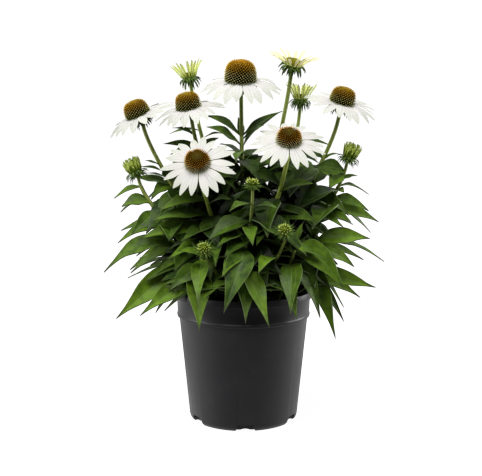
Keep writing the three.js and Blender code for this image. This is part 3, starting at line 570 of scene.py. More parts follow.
studio = {
    "distance": 1.1, "eyeHeight": 0.363, "sideStep": -0.003, "lookDown": 7.4, "lens": 68.4,
    "backdrop": 1.08,  # the sky as the eye sees it
    "sky": [  # the sky as it lights the plant: an axis, and a ramp of brightness along it
        ("Y", -0.6, 0.4, 0.06, 0.65), ("Z", 0.2, 1.0, 0.0, 0.45), ("Z", -0.2, -1.0, 0.0, 0.55),
    ],
    "lamps": [  # name, place, width, height, watts
        ("topSoftbox", (-0.2, -0.80, 2.0), 1.4, 1.4, 48.0),
        ("leftSoftbox", (-1.15, -0.10, 0.36), 0.7, 0.8, 10.5),
        ("rightSoftbox", (1.15, 0.30, 0.36), 0.8, 0.8, 10.5),
        ("petalLight", (-0.15, -1.3, 0.1), 1.0, 0.6, 8.2),
        ("petalSky", (-0.2, -0.80, 2.0), 1.4, 1.4, 46.0),
        ("floorLight", (0, 0, 2.5), 3.0, 3.0, 1600.0),
    ],
    "aim": (0, 0, 0.22), "floorRadius": 4, "floorSides": 96, "floorDrop": 0.0004,
}


def hangSky():
    world = bpy.data.worlds.new("softSky")
    bpy.context.scene.world = world
    world.use_nodes = True
    toward = addNode(world, "SeparateXYZ", {0: addNode(world, "TexCoord").outputs["Generated"]})
    light = 0.0
    for axis, start, end, dim, bright in studio["sky"]:
        ramp = addNode(world, "MapRange", {"Value": toward.outputs[axis], "From Min": start, "From Max": end,
                                           "To Min": dim, "To Max": bright})
        light = plus(world, light, ramp.outputs[0])
    eye = addNode(world, "LightPath").outputs["Is Camera Ray"]
    seen = addNode(world, "Mix", {0: eye, 2: light, 3: studio["backdrop"]})
    sky = world.node_tree.nodes["Background"]
    sky.inputs["Color"].default_value = (1, 1, 1, 1)
    world.node_tree.links.new(seen.outputs[0], sky.inputs["Strength"])


def lightOnly(name, pieces, blockers=None):  # a lamp that only these pieces see, and what stands in its way
    linking = bpy.data.objects[name].light_linking
    for use, group in (("receiver", pieces), ("blocker", blockers)):
        if group:
            listed = bpy.data.collections.new(name + "_" + use)
            for piece in group:
                listed.objects.link(piece)
            setattr(linking, use + "_collection", listed)


def layFloor():
    deselectAll()
    bpy.ops.mesh.primitive_circle_add(vertices=studio["floorSides"], radius=studio["floorRadius"],
                                      fill_type="NGON", location=(0, 0, -studio["floorDrop"]))
    floor = bpy.context.object
    floor.name = "floor"
    floor.is_shadow_catcher = True
    floor.visible_diffuse = floor.visible_glossy = False
    bpy.ops.object.transform_apply(location=True)
    floor.data.materials.append(floorMaterial(floorLook))
    return floor


def buildStudio():
    bpy.ops.object.camera_add(
        location=(studio["sideStep"], -studio["distance"], studio["eyeHeight"]),
        rotation=(math.radians(90 - studio["lookDown"]), 0, 0))
    camera = bpy.context.object
    camera.name = "camera"
    camera.data.lens = studio["lens"]
    camera.data.clip_start = 0.01
    bpy.context.scene.camera = camera
    bpy.context.scene.view_settings.view_transform = "Standard"
    hangSky()
    floor = layFloor()
    for name, place, width, height, watts in studio["lamps"]:
        bpy.ops.object.light_add(type="AREA", location=place)
        lamp = bpy.context.object
        lamp.name = name
        lamp.data.shape = "RECTANGLE"
        lamp.data.size, lamp.data.size_y = width, height
        lamp.data.energy = watts
        lamp.rotation_euler = (Vector(place) - Vector(studio["aim"])).to_track_quat("Z", "Y").to_euler()
    lightOnly("floorLight", [floor], [floor])  # it keeps the floor white round the pot


buildStudio()
leafUpper, leafUnder = [leafMaterial("leaf" + side.title(), look, leafGrain)
                        for side, look in leafLook.items()]
stalkGreen = stalkMaterial(stalkLook)
bractGreen = bractMaterial(bractLook)
petals = {name: petalMaterial("petal" + name.title(), look, petalGrain) for name, look in petalLook.items()}
spikeMaterials = {name: spikeMaterial(name, look, spikeGrain) for name, look in spikeLook.items()}
print("studio and materials made")


# Masters: each is modelled once, and copied wherever it grows. A blade is one wide and one long. outline:
# share of the length, share of the width, and how far the left and the right edge rise. grooves: place
# across, and depth. lastRing: the last ring before the tip of the solid's own leaf, written like outline.
bladeShapes = {
    "longLeaf": {
        "columns": 8, "rows": 16, "thickness": 0.03, "fold": 0.13, "grooves": [(0, 0.02)],
        "outline": [(0, 0.13, 0, 0), (0.14, 0.26, 0, 0), (0.26, 0.72, 0.03, 0), (0.38, 0.98, 0.1, -0.03),
                    (0.5, 1, 0.02, 0.05), (0.64, 0.84, -0.04, 0.1), (0.78, 0.46, 0.06, 0), (0.9, 0.15, 0, 0),
                    (1, 0, 0, 0)],
        "lastRing": (0.8, 0.42, 0.05, 0)},
    "shortLeaf": {
        "columns": 8, "rows": 14, "thickness": 0.032, "fold": 0.13, "grooves": [(0, 0.02)],
        "outline": [(0, 0.16, 0, 0), (0.12, 0.3, 0, 0), (0.28, 0.82, 0.06, 0), (0.44, 1, 0, 0.08),
                    (0.6, 0.86, 0.02, 0), (0.76, 0.5, 0.05, 0), (0.9, 0.17, 0, 0), (1, 0, 0, 0)],
        "lastRing": (0.76, 0.56, 0.04, 0)},
    "smallLeaf": {
        "columns": 6, "rows": 10, "thickness": 0.04, "fold": 0.13, "grooves": [(0, 0.02)],
        "outline": [(0, 0.16, 0, 0), (0.2, 0.55, 0.02, 0), (0.4, 1, 0.06, 0), (0.6, 0.84, 0, 0.06),
                    (0.82, 0.36, 0, 0), (1, 0, 0, 0)],
        "lastRing": (0.72, 0.66, 0, 0.06)},
    "petal": {
        "columns": 6, "rows": 12, "thickness": 0.018, "fold": -0.06, "grooves": [(1 / 6, 0.05)],
        "outline": [(0, 0.42, 0, 0), (0.16, 0.6, 0, 0), (0.36, 0.88, 0, 0), (0.55, 1, 0, 0),
                    (0.72, 0.9, 0, 0), (0.88, 0.56, 0, 0), (1, 0.14, 0, 0)]},
    "strap": {
        "columns": 4, "rows": 7, "thickness": 0.12, "fold": 0.22, "grooves": [(0, 0.05)],
        "outline": [(0, 0.5, 0, 0), (0.3, 0.72, 0, 0), (0.62, 1, 0, 0), (0.85, 0.8, 0, 0), (1, 0.15, 0, 0)]},
    "bract": {
        "columns": 2, "rows": 4, "thickness": 0.12, "fold": 0.25, "grooves": [(0, 0.04)],
        "outline": [(0, 0.75, 0, 0), (0.3, 1, 0, 0), (0.7, 0.6, 0, 0), (1, 0, 0, 0)]},
}

# near: what part of a cell still counts as its row or column. Rises under leastRise are left out.
bladeHabit = {"near": 0.4, "foldPower": 1.2, "leastRise": 0.004, "flattest": 0.15, "innerShare": 0.5}


def makeBlade(name, form, upper, under):
    columns, rows, outline = form["columns"], form["rows"], form["outline"]
    deselectAll()
    bpy.ops.mesh.primitive_grid_add(x_subdivisions=columns, y_subdivisions=rows, size=1,
                                    location=(0, 0.5, 0))
    blade = bpy.context.object
    blade.name = name
    bpy.ops.object.transform_apply(location=True)
    startEdit(blade)
    nearColumn, nearRow = bladeHabit["near"] / columns, bladeHabit["near"] / rows
    for column in range(columns + 1):
        across = column / columns - 0.5
        lift = form["fold"] * 2 * abs(across) ** bladeHabit["foldPower"]
        lift -= sum(depth for place, depth in form["grooves"] if abs(abs(across) - place) < nearColumn)
        shiftPoints(blade, lambda co: abs(co.x - across) < nearColumn, (0, 0, lift))
    for row in range(rows + 1):
        along = row / rows
        for side, edge in ((-1, 2), (1, 3)):
            rise = through(outline, edge, along)
            for place, share in ((0.5, 1), (0.5 - 1 / columns, bladeHabit["innerShare"])):
                if abs(rise) > bladeHabit["leastRise"]:
                    shiftPoints(blade, lambda co: abs(co.y - along) < nearRow
                                and abs(co.x - side * place) < nearColumn, (0, 0, rise * share))
        width = through(outline, 1, along)
        scalePoints(blade, lambda co: abs(co.y - along) < nearRow,
                    (width, 1, max(width, bladeHabit["flattest"])), (0, along, 0))
    if outline[-1][1] == 0:
        pick(blade, lambda co: co.y > 1 - nearRow)
        bpy.ops.mesh.merge(type="CENTER")
    endEdit()
    blade.data.materials.append(upper)
    blade.data.materials.append(under)
    applyModifier(blade, "SOLIDIFY", thickness=form["thickness"], offset=0, material_offset=1)
    smoothShading(blade, 50)
    return blade


spikeShape = {"profile": [(340, 0), (420, 350), (360, 800), (100, 1000)], "sides": 5}  # a metre tall


def makeSpike():
    spike = turnProfile("spike", spikeShape["profile"], spikeShape["sides"])
    keepNumber(spike.data, "reach", pointsOf(spike.data)[:, 2])
    smoothShading(spike, 60)
    return spike


leafMasters = {name: makeBlade(name, bladeShapes[name], leafUpper, leafUnder)
               for name in ("longLeaf", "shortLeaf", "smallLeaf")}
petalMaster = makeBlade("petal", bladeShapes["petal"], petals["white"], petals["white"])
strapMasters = {stage: makeBlade(stage + "Strap", bladeShapes["strap"], petals[tint], petals[tint])
                for stage, tint in (("opening", "cream"), ("young", "lime"), ("bud", "bud"))}
bractMaster = makeBlade("bract", bladeShapes["bract"], bractGreen, bractGreen)
spikeMaster = makeSpike()
masters = [*leafMasters.values(), petalMaster, *strapMasters.values(), bractMaster, spikeMaster]
print("masters made:", {master.name: len(master.data.polygons) for master in masters})


def alongSpine(spine, side, along, across, above):
    start, bend, end = (np.array(point) for point in spine)
    t = along[:, None]
    middle = (1 - t) ** 2 * start + 2 * t * (1 - t) * bend + t * t * end
    run = (1 - t) * (bend - start) + t * (end - bend)
    run /= np.linalg.norm(run, axis=1)[:, None]
    side = np.array(side) - run * (run @ np.array(side))[:, None]
    side /= np.linalg.norm(side, axis=1)[:, None]
    return middle + side * across[:, None] + np.cross(side, run) * above[:, None]


waviness = {"along": 9, "spread": 3, "otherEdge": 1.6, "twistEases": 0.6}  # the first three in radians


# ripple waves the edges, twist turns the blade round its rib towards the tip, sway bends the rib sideways.
def layBlade(master, spine, side, width, ripple=0.0, number=0, twist=0.0, sway=0.0, **numbers):
    spine = [point * mm for point in spine]
    blade = copyOf(master, **numbers)
    across, along, above = pointsOf(blade.data).T
    edge = np.abs(across) * 2
    start = waviness["spread"] * wander(number) + np.where(across > 0, waviness["otherEdge"], 0)
    above = above + ripple * edge ** 2 * np.sin(waviness["along"] * along + start)
    turn = twist * along * (1 - waviness["twistEases"] * along)
    across, above = (across * np.cos(turn) - above * np.sin(turn),
                     above * np.cos(turn) + across * np.sin(turn))
    across = across + sway * np.sin(math.pi * along)
    setPoints(blade.data, alongSpine(spine, side, along, across * width * mm, above * width * mm))
    return blade


# The plant, in millimetres and degrees. foot: where a stem leaves the soil. head: the middle of its bloom or
# bud, which leans from upright towards a side. rise and bow: how strongly the stem's curve sets out at its
# foot and comes in at its head. lightGreen: how much lighter a stem is, painted light on stems that their
# blooms shade. A leaf is written as the height it grows at, its tip, width, arch and roll. fill: how many
# more leaves grow between two heights, towards a side, and how far they spread to both hands of it.
flowers = [
    {
        "name": "top",
        "foot": (0, 8), "head": (-3, 15, 408), "lean": 18, "toward": -92, "rise": 90, "bow": 70,
        "dome": "ripe", "rays": "ripe", "radius": 2.7,
        "leaves": [
            (341, (-45, -10, 367), 13, 9, 1), (330, (-44, -25, 354), 17, 9, 1.3),
            (342, (46, -12, 372), 14, 5, 1.2), (336, (-7, 48, 366), 9, 5, 0),
            (337, (48, 38, 373), 11, 7, 0.4), (327, (24, -30, 356), 14, 9, 1.2),
            (318, (-9, -48, 313), 16, 16, 0), (300, (-46, 20, 316), 16, 12, 1),
            (296, (44, 30, 312), 16, 12, 1), (286, (-34, -38, 292), 19, 12, 0.8),
            (278, (34, -30, 292), 19, 12, 0.8), (262, (-26, -30, 272), 19, 12, 0.8),
            (316, (-30, 44, 332), 17, 10, 0.2), (308, (26, 48, 326), 17, 10, 0.2),
        ],
        "fill": {"count": 5, "from": (190, 272), "toward": 90, "spread": 130},
    },
    {
        "name": "left",
        "foot": (-25, 4), "head": (-125, 5, 367), "lean": 26, "toward": -152, "rise": 70, "bow": 60,
        "dome": "full", "rays": "level", "radius": 2.6,
        "leaves": [
            (306, (-118, -4, 314), 7, 3, 0.2), (299, (-126, 2, 306), 8, 4, 0.3),
            (291, (-121, 14, 298), 8, 4, 0.3), (287, (-86, -12, 308), 17, 3, 1.6),
            (280, (-112, 10, 266), 19, 14, 1), (276, (-103, -24, 246), 18, 12, 1),
            (262, (-122, 34, 238), 18, 14, 0.6), (252, (-108, -18, 240), 20, 12, 1.2),
            (284, (-134, 24, 292), 14, 6, 0.4),
        ],
        "fill": {"count": 3, "from": (200, 255), "toward": 140, "spread": 70},
    },
    {
        "name": "upper_left",
        "foot": (-14, 15), "head": (-65, 10, 376), "lean": 19, "toward": -128, "rise": 80, "bow": 60,
        "dome": "full", "rays": "drooping", "radius": 2.6,
        "leaves": [
            (343, (-87, 25, 352), 10, 6, 0.5), (333, (-98, 20, 333), 9, 3, 0.8),
            (330, (-89, 8, 320), 10, 3, 0.8), (322, (-30, 34, 340), 12, 8, 0.4),
            (300, (-96, 32, 288), 17, 14, 0.7), (290, (-72, -26, 290), 18, 10, 1.2),
            (272, (-62, -40, 262), 20, 12, 0.9),
        ],
        "fill": {"count": 3, "from": (215, 280), "toward": 120, "spread": 90},
    },
    {
        "name": "front_left",
        "foot": (-17, -19), "head": (-52, -53, 313), "lean": 50, "toward": -96, "rise": 60, "bow": 34,
        "dome": "facing", "rays": "spread", "radius": 2.5, "lightGreen": 0.8,
        "leaves": [
            (268, (-98, -48, 257), 17, 12, 0.9), (250, (-106, -52, 246), 19, 12, 1),
            (262, (-14, -62, 272), 15, 8, 0.8), (232, (-122, -50, 224), 22, 16, 1.3),
            (226, (-20, -104, 201), 18, 14, 0.4), (238, (4, -58, 284), 15, 6, 1),
            (214, (-86, -84, 206), 22, 14, 0.6),
        ],
        "fill": {"count": 2, "from": (196, 214), "toward": -150, "spread": 40},
    },
    {
        "name": "front_right",
        "foot": (15, -17), "head": (52, -44, 338), "lean": 36, "toward": -88, "rise": 70, "bow": 44,
        "dome": "facing", "rays": "spread", "radius": 2.7, "lightGreen": 1,
        "leaves": [
            (264, (-3, -62, 253), 17, 10, 1.4), (240, (-32, -76, 241), 22, 10, 1.6),
            (238, (14, -86, 222), 17, 8, 0.6), (284, (8, -34, 300), 16, 10, 0.9),
            (278, (80, -58, 290), 16, 10, 0.9), (248, (84, -66, 246), 20, 14, 0.9),
            (222, (70, -90, 212), 20, 16, 0.5),
        ],
        "fill": {"count": 2, "from": (205, 225), "toward": -20, "spread": 40},
    },
    {
        "name": "right",
        "foot": (27, 5), "head": (118, 10, 382), "lean": 20, "toward": -54, "rise": 80, "bow": 66,
        "dome": "full", "rays": "level", "radius": 2.6,
        "leaves": [
            (312, (114, 6, 322), 8, 5, 0.4), (316, (66, 0, 330), 14, 5, 1), (302, (116, 16, 288), 18, 12, 1),
            (306, (44, -40, 277), 23, 16, 1.4), (290, (64, -34, 262), 19, 12, 1),
            (296, (60, 40, 306), 17, 10, 0.8), (276, (124, -26, 250), 18, 14, 0.9),
            (262, (116, -44, 238), 20, 14, 1), (280, (114, 38, 304), 18, 8, 0.3),
        ],
        "fill": {"count": 3, "from": (205, 270), "toward": 40, "spread": 80},
    },
    {
        "name": "opening",
        "foot": (14, 24), "head": (61, 40, 430), "lean": 24, "toward": -60, "rise": 90, "bow": 80,
        "dome": "flat", "rays": "opening", "radius": 2.7,
        "leaves": [
            (338, (86, 34, 340), 11, 8, 0.6), (330, (22, 54, 338), 11, 8, 0),
            (318, (84, 66, 318), 13, 10, 0),
        ],
        "fill": {"count": 5, "from": (205, 306), "toward": 90, "spread": 100},
    },
    {
        "name": "young_left",
        "foot": (-12, 32), "head": (-68, 66, 415), "lean": 13, "toward": 175, "rise": 90, "bow": 70,
        "dome": "young", "rays": "young", "radius": 2.5,
        "leaves": [
            (348, (-94, 66, 344), 11, 8, 0), (338, (-22, 62, 344), 11, 8, 0),
            (322, (-72, 88, 312), 13, 10, 0),
        ],
        "fill": {"count": 5, "from": (205, 310), "toward": 125, "spread": 95},
    },
    {
        "name": "young_right",
        "foot": (28, 20), "head": (72, 64, 388), "lean": 5, "toward": -30, "rise": 80, "bow": 60,
        "dome": "young", "rays": "young", "radius": 2.4,
        "leaves": [
            (334, (110, 58, 330), 11, 8, 0.4), (318, (98, 88, 306), 13, 10, 0),
        ],
        "fill": {"count": 5, "from": (205, 302), "toward": 50, "spread": 95},
    },
]

# Stems that end in a bud.
buds = [
    {
        "name": "bud_left",
        "foot": (-34, -10), "head": (-129, -10, 302), "lean": 24, "toward": 178, "rise": 60, "bow": 50,
        "dome": "bud", "radius": 2.2,
        "leaves": [
            (283, (-156, 0, 268), 10, 6, 0.6), (264, (-144, -20, 260), 19, 10, 1.2),
            (254, (-131, -45, 229), 17, 8, 1.2), (238, (-151, -8, 215), 17, 14, 1),
            (268, (-150, 14, 250), 15, 10, 0.6),
        ],
        "fill": {"count": 2, "from": (206, 236), "toward": -175, "spread": 50},
    },
    {
        "name": "bud_right",
        "foot": (37, -7), "head": (127, 0, 319), "lean": 20, "toward": -10, "rise": 60, "bow": 60,
        "dome": "bud", "radius": 2.2,
        "leaves": [
            (300, (82, -22, 307), 21, 9, 1.6), (297, (101, -24, 282), 19, 4, 1.8),
            (290, (138, 5, 295), 8, 5, 0.3), (283, (152, 10, 272), 10, 10, 0.4),
            (276, (119, -18, 277), 12, 6, 0.6), (268, (151, 0, 253), 15, 9, 0.6),
            (262, (157, 22, 224), 12, 14, 0.6), (250, (126, -35, 243), 15, 10, 0.9),
        ],
        "fill": {"count": 2, "from": (225, 262), "toward": 30, "spread": 30},
    },
    {
        "name": "bud_middle",
        "foot": (0, -25), "head": (10, -70, 290), "lean": 4, "toward": -90, "rise": 60, "bow": 40,
        "dome": "smallBud", "radius": 1.9,
        "leaves": [
            (266, (-16, -98, 262), 14, 10, 0.5), (260, (38, -92, 264), 14, 10, 0.5),
            (240, (10, -112, 226), 17, 12, 0), (228, (-30, -96, 222), 18, 12, 0.4),
        ],
        "fill": {"count": 1, "from": (200, 220), "toward": 0, "spread": 40},
    },
    {
        "name": "bud_low_left",
        "foot": (-12, -37), "head": (-44, -92, 220), "lean": 52, "toward": -95, "rise": 36, "bow": 26,
        "dome": "smallBud", "radius": 1.9,
        "leaves": [
            (204, (-72, -102, 219), 16, 6, 0.4),
        ],
    },
    {
        "name": "bud_low_right",
        "foot": (17, -34), "head": (46, -86, 240), "lean": 50, "toward": -100, "rise": 40, "bow": 26,
        "dome": "smallBud", "radius": 1.9,
        "leaves": [
            (214, (88, -92, 212), 18, 12, 0.6), (204, (16, -114, 196), 17, 12, 0.2),
        ],
    },
]

# Leafy shoots without a flower, which lean out from foot to top.
shoots = [
    {
        "name": "left",
        "foot": (-48, 0), "top": (-74, -14, 206),
        "leaves": [
            (207, (-166, -25, 182), 24, 44, 1.5), (194, (-150, -45, 130), 28, 16, 2),
            (192, (-143, 17, 168), 14, 9, 0.3), (178, (-106, -16, 131), 14, 16, 0.5),
            (202, (-130, 34, 190), 20, 11, 0.5),
        ],
        "fill": {"count": 2, "from": (168, 186), "toward": 150, "spread": 30},
    },
    {
        "name": "front_left",
        "foot": (-34, -27), "top": (-48, -62, 204),
        "leaves": [
            (180, (-120, -60, 137), 22, 12, 1.6), (174, (-93, -42, 139), 16, 12, 0.8),
            (184, (-49, -107, 130), 29, 26, 0.2), (202, (-38, -119, 168), 20, 18, 0.2),
            (190, (-84, -92, 172), 22, 18, 0.8),
        ],
    },
    {
        "name": "front",
        "foot": (-6, -50), "top": (2, -72, 222),
        "leaves": [
            (218, (-22, -123, 153), 31, 26, 0.5), (206, (-24, -112, 191), 19, 12, 0.4),
            (182, (2, -109, 139), 22, 24, 0), (192, (28, -114, 136), 27, 28, 0),
            (172, (-42, -92, 164), 20, 18, 0.3), (176, (62, -86, 160), 20, 16, 0.3),
        ],
    },
    {
        "name": "front_right",
        "foot": (35, -40), "top": (60, -58, 222),
        "leaves": [
            (196, (52, -103, 148), 27, 26, 0.2), (182, (60, -90, 139), 20, 22, 0.4),
            (218, (114, -75, 171), 28, 26, 1.8), (202, (88, -66, 136), 23, 24, 1.2),
        ],
    },
    {
        "name": "right",
        "foot": (50, -16), "top": (84, -26, 222),
        "leaves": [
            (194, (108, -50, 107), 22, 34, 2), (221, (170, -5, 192), 15, 18, 0.8),
            (219, (150, -20, 222), 23, 14, 1.4), (206, (129, -46, 192), 18, 20, 1.6),
            (200, (104, -60, 206), 16, 12, 0.9), (187, (159, -15, 162), 21, 5, 1.4),
            (176, (122, -10, 119), 15, 28, 0.9),
        ],
    },
    {
        "name": "back_right",
        "foot": (46, 22), "top": (72, 40, 210),
        "leaves": [
            (182, (125, 22, 130), 16, 30, 0.3), (200, (152, 48, 186), 22, 20, 0.3),
        ],
        "fill": {"count": 5, "from": (160, 208), "toward": 62, "spread": 70},
    },
    {
        "name": "back",
        "foot": (6, 46), "top": (4, 62, 214),
        "leaves": [],
        "fill": {"count": 6, "from": (162, 212), "toward": 92, "spread": 80},
    },
    {
        "name": "back_left",
        "foot": (-38, 26), "top": (-66, 42, 208),
        "leaves": [
            (186, (-140, 62, 172), 19, 18, 0),
        ],
        "fill": {"count": 5, "from": (160, 206), "toward": 128, "spread": 66},
    },
]

# Domes of cones and buds. spikes: how many; wide and tall: a spike's size; spring and flare: how far it
# leans up and out; core: the body under the spikes, as a share of the dome. blades: rings of young
# petals round a bud, each with its slope on the dome, its count and its length.
domes = {
    "ripe": {"radius": 17.6, "height": 27, "core": 0.92,
             "spikes": 440, "wide": 1.75, "tall": 5.2, "spring": 0.38, "flare": 1},
    "full": {"radius": 13.4, "height": 19.5, "core": 0.94,
             "spikes": 320, "wide": 1.5, "tall": 4.6, "spring": 0.3, "flare": 1},
    "facing": {"radius": 13, "height": 15, "core": 0.88,
               "spikes": 320, "wide": 1.2, "tall": 5.4, "spring": 0.12, "flare": 1},
    "flat": {"radius": 11, "height": 5.5, "core": 0.84,
             "spikes": 170, "wide": 1.4, "tall": 2.4, "spring": 0.6, "flare": 0.8},
    "young": {"radius": 8.6, "height": 5, "core": 0.95,
              "spikes": 110, "wide": 1.5, "tall": 2.8, "spring": 0.5, "flare": 1},
    "bud": {"radius": 10, "height": 13.5, "core": 0.8,
            "spikes": 34, "wide": 1.7, "tall": 8.5, "spring": 1.1, "flare": 0.4,
            "blades": [(-20, 12, 12), (2, 11, 10.5), (28, 9, 8.5), (52, 6, 6)]},
    "smallBud": {"radius": 6.6, "height": 9.5, "core": 0.5,
                 "spikes": 30, "wide": 1.5, "tall": 8, "spring": 0.8, "flare": 0.8},
}

# How things grow. A name that ends in By says how far a measure wanders to both sides.
domeHabit = {  # slopes in degrees
    "crown": 86, "steps": 9, "sides": 24, "youngFrom": 30, "youngAll": 80, "lowTo": 4, "youngShorter": 0.5,
    "youngThinner": 0.25, "lowTaller": 0.2, "uneven": 0.12, "sunk": 0.3,
}
budPetals = {
    "width": 3.0, "narrower": 0.08, "turnBy": 0.2, "seat": 0.86, "lengthBy": 0.1, "swell": 2.4,
    "bendAt": 0.5, "open": 1.2, "openBy": 1.4,
}

# plate: the ring's edge, as a share of the dome's. leave and end: a petal's slope at its root and its tip.
# sag: how much lower the petals end on the side that the head leans to. wander: how far the slopes vary.
rays = {
    "ripe": {"count": 19, "length": 34, "width": 12.0, "plate": 0.88, "leave": 6, "end": -36, "sag": 16,
             "wander": 9},
    "drooping": {"count": 18, "length": 31, "width": 10.8, "plate": 0.88, "leave": 10, "end": -30, "sag": 14,
                 "wander": 8},
    "level": {"count": 18, "length": 32, "width": 10.8, "plate": 0.88, "leave": 11, "end": -20, "sag": 20,
              "wander": 8},
    "spread": {"count": 18, "length": 30.5, "width": 9.8, "plate": 0.88, "leave": 5, "end": -26, "sag": 0,
               "wander": 6},
    "opening": {"count": 17, "length": 20, "width": 3.9, "plate": 1.12, "leave": 38, "end": 12, "sag": -26,
                "wander": 12},
    "young": {"count": 17, "length": 19.5, "width": 3.3, "plate": 1.12, "leave": 72, "end": 52, "sag": 0,
              "wander": 9},
}
rayHabit = {
    "turnBy": 0.16, "lengthBy": 0.07, "widthBy": 0.09, "rollBy": 0.16, "rootAt": 0.94, "bendAt": 0.5,
    "tipAt": 0.6, "ripple": 0.025, "youngEdge": 0.9,
}

plate = {"half": 0.9, "gap": 0.3, "middle": 0.3, "top": 0.7, "shoulder": 0.6, "rounding": 0.8,
         "chamfer": 1.2}
lowestSlope = math.radians(-24)


def headPlace(stem):  # turns a head that stands upright at the origin to where it sits
    axis = pointing(stem["lean"], stem["toward"])
    turn = upward.rotation_difference(axis).to_matrix().to_4x4()
    return Matrix.Translation(Vector(stem["head"]) * mm) @ turn


def isYoung(stem):
    return stem.get("rays") in ("opening", "young")


def onDome(form, seat, slope):
    half = form["height"] / (1 - math.sin(lowestSlope))
    return form["radius"] * math.cos(slope), seat + half * (math.sin(slope) - math.sin(lowestSlope))


def onCore(form, seat, slope):
    wide, high = onDome(form, seat, slope)
    return form["core"] * wide, seat + form["core"] * (high - seat)


def growCore(name, form, seat):
    steps = domeHabit["steps"]
    slopes = [between(lowestSlope, math.radians(domeHabit["crown"]), k / steps) for k in range(steps + 1)]
    core = turnProfile(name, [onCore(form, seat, slope) for slope in slopes], domeHabit["sides"])
    keepNumber(core.data, "rise", (pointsOf(core.data)[:, 2] / mm - seat) / form["height"])
    keepNumber(core.data, "reach", 0)
    smoothShading(core, 60)
    return core


def growSpikes(form, seat, onHead):
    habit = domeHabit
    for k in range(form["spikes"]):
        slope = math.asin(between(math.sin(lowestSlope), 1, (k + 0.5) / form["spikes"]))
        outward = around(k * goldenTurn)
        wide, high = onCore(form, seat, slope)
        lean = outward * math.cos(slope) * form["flare"] + upward * (math.sin(slope) + form["spring"])
        young = smoothStep(slope, math.radians(habit["youngFrom"]), math.radians(habit["youngAll"]))
        low = 1 - smoothStep(slope, lowestSlope, math.radians(habit["lowTo"])) if onHead else 0
        tall = form["tall"] * (1 - habit["youngShorter"] * young + habit["lowTaller"] * low)
        tall *= 1 + habit["uneven"] * wander(k)
        thick = form["wide"] * (1 - habit["youngThinner"] * young)
        root = outward * wide + upward * high - lean.normalized() * habit["sunk"] * form["tall"]
        turn = upward.rotation_difference(lean).to_matrix().to_4x4()
        scale = Matrix.Diagonal((thick * mm, thick * mm, tall * mm, 1))
        yield copyOf(spikeMaster, Matrix.Translation(root * mm) @ turn @ scale,
                     rise=(high - seat) / form["height"])


def growBudPetals(form, seat):
    habit = budPetals
    for ring, (slope, count, tall) in enumerate(form.get("blades", [])):
        wide, high = onDome(form, seat, math.radians(slope))
        for k in range(count):
            own = k + 5 * ring
            outward = around(2 * math.pi * (k + 0.5 * ring + habit["turnBy"] * wander(own)) / count)
            length = tall * (1 + habit["lengthBy"] * wander(own + 3))
            root = outward * habit["seat"] * wide + upward * high
            bend = root + outward * habit["swell"] + upward * habit["bendAt"] * length
            tip = root + outward * (habit["open"] + habit["openBy"] * wander(own + 7)) + upward * length
            yield layBlade(strapMasters["bud"], [root, bend, tip], outward.cross(upward),
                           habit["width"] * (1 - habit["narrower"] * ring), tone=0.5 + 0.5 * wander(own))


def growDome(stem, name):
    form, onHead = domes[stem["dome"]], "rays" in stem
    seat = plate["half"] + plate["gap"] if onHead else -plate["half"]
    kind = {"ripe": "ripeCone", "full": "sideCone", "facing": "facingCone"}.get(stem["dome"], "youngCone")
    parts = [growCore(name, form, seat), *growSpikes(form, seat, onHead)]
    for part in parts:
        part.data.materials.append(spikeMaterials[kind if onHead else "bud"])
    piece = joinParts(name, [*parts, *growBudPetals(form, seat)])
    piece.data.transform(headPlace(stem))
    return piece


def growPlate(name, rim, young):  # what the petals are rooted in
    edge = rim * rayHabit["youngEdge"] if young else rim
    foot = -plate["half"] - plate["gap"]
    ring = turnProfile(name, [
        (plate["middle"], foot), (edge - plate["chamfer"], foot), (edge, 0),
        (edge - plate["rounding"], plate["shoulder"]), (plate["middle"], plate["top"]),
    ], domeHabit["sides"])
    ring.data.materials.append(bractGreen if young else petals["white"])
    return ring


def growRays(stem, name, order):
    look, habit, young = rays[stem["rays"]], rayHabit, isYoung(stem)
    rim = domes[stem["dome"]]["radius"] * look["plate"]
    master, ripple = strapMasters.get(stem["rays"], petalMaster), 0.0 if young else habit["ripple"]
    parts = [growPlate(name, rim, young)]
    for k in range(look["count"]):
        own = k + order
        turn = 2 * math.pi * (k + habit["turnBy"] * wander(own)) / look["count"]
        outward = around(turn)
        length = look["length"] * (1 + habit["lengthBy"] * wander(own + 5))
        hang = look["sag"] * max(0, math.cos(turn - math.radians(stem["toward"])))
        first = math.radians(look["leave"] - (hang if young else 0) + look["wander"] * wander(own + 11))
        last = math.radians(look["end"] - hang + look["wander"] * wander(own + 23))
        start, bend = outward * rim * habit["rootAt"], outward * rim
        bend += (outward * math.cos(first) + upward * math.sin(first)) * length * habit["bendAt"]
        tip = bend + (outward * math.cos(last) + upward * math.sin(last)) * length * habit["tipAt"]
        side = outward.cross(upward) + upward * habit["rollBy"] * wander(own + 3)
        width = look["width"] * (1 + habit["widthBy"] * wander(own + 9))
        parts.append(layBlade(master, [start, bend, tip], side, width, ripple, own,
                              tone=0.5 + 0.5 * wander(own + 2)))
    piece = joinParts(name, parts)
    piece.data.transform(headPlace(stem))
    return piece


# Stems: a rod and its leaves, and under a head the cup with its bracts.

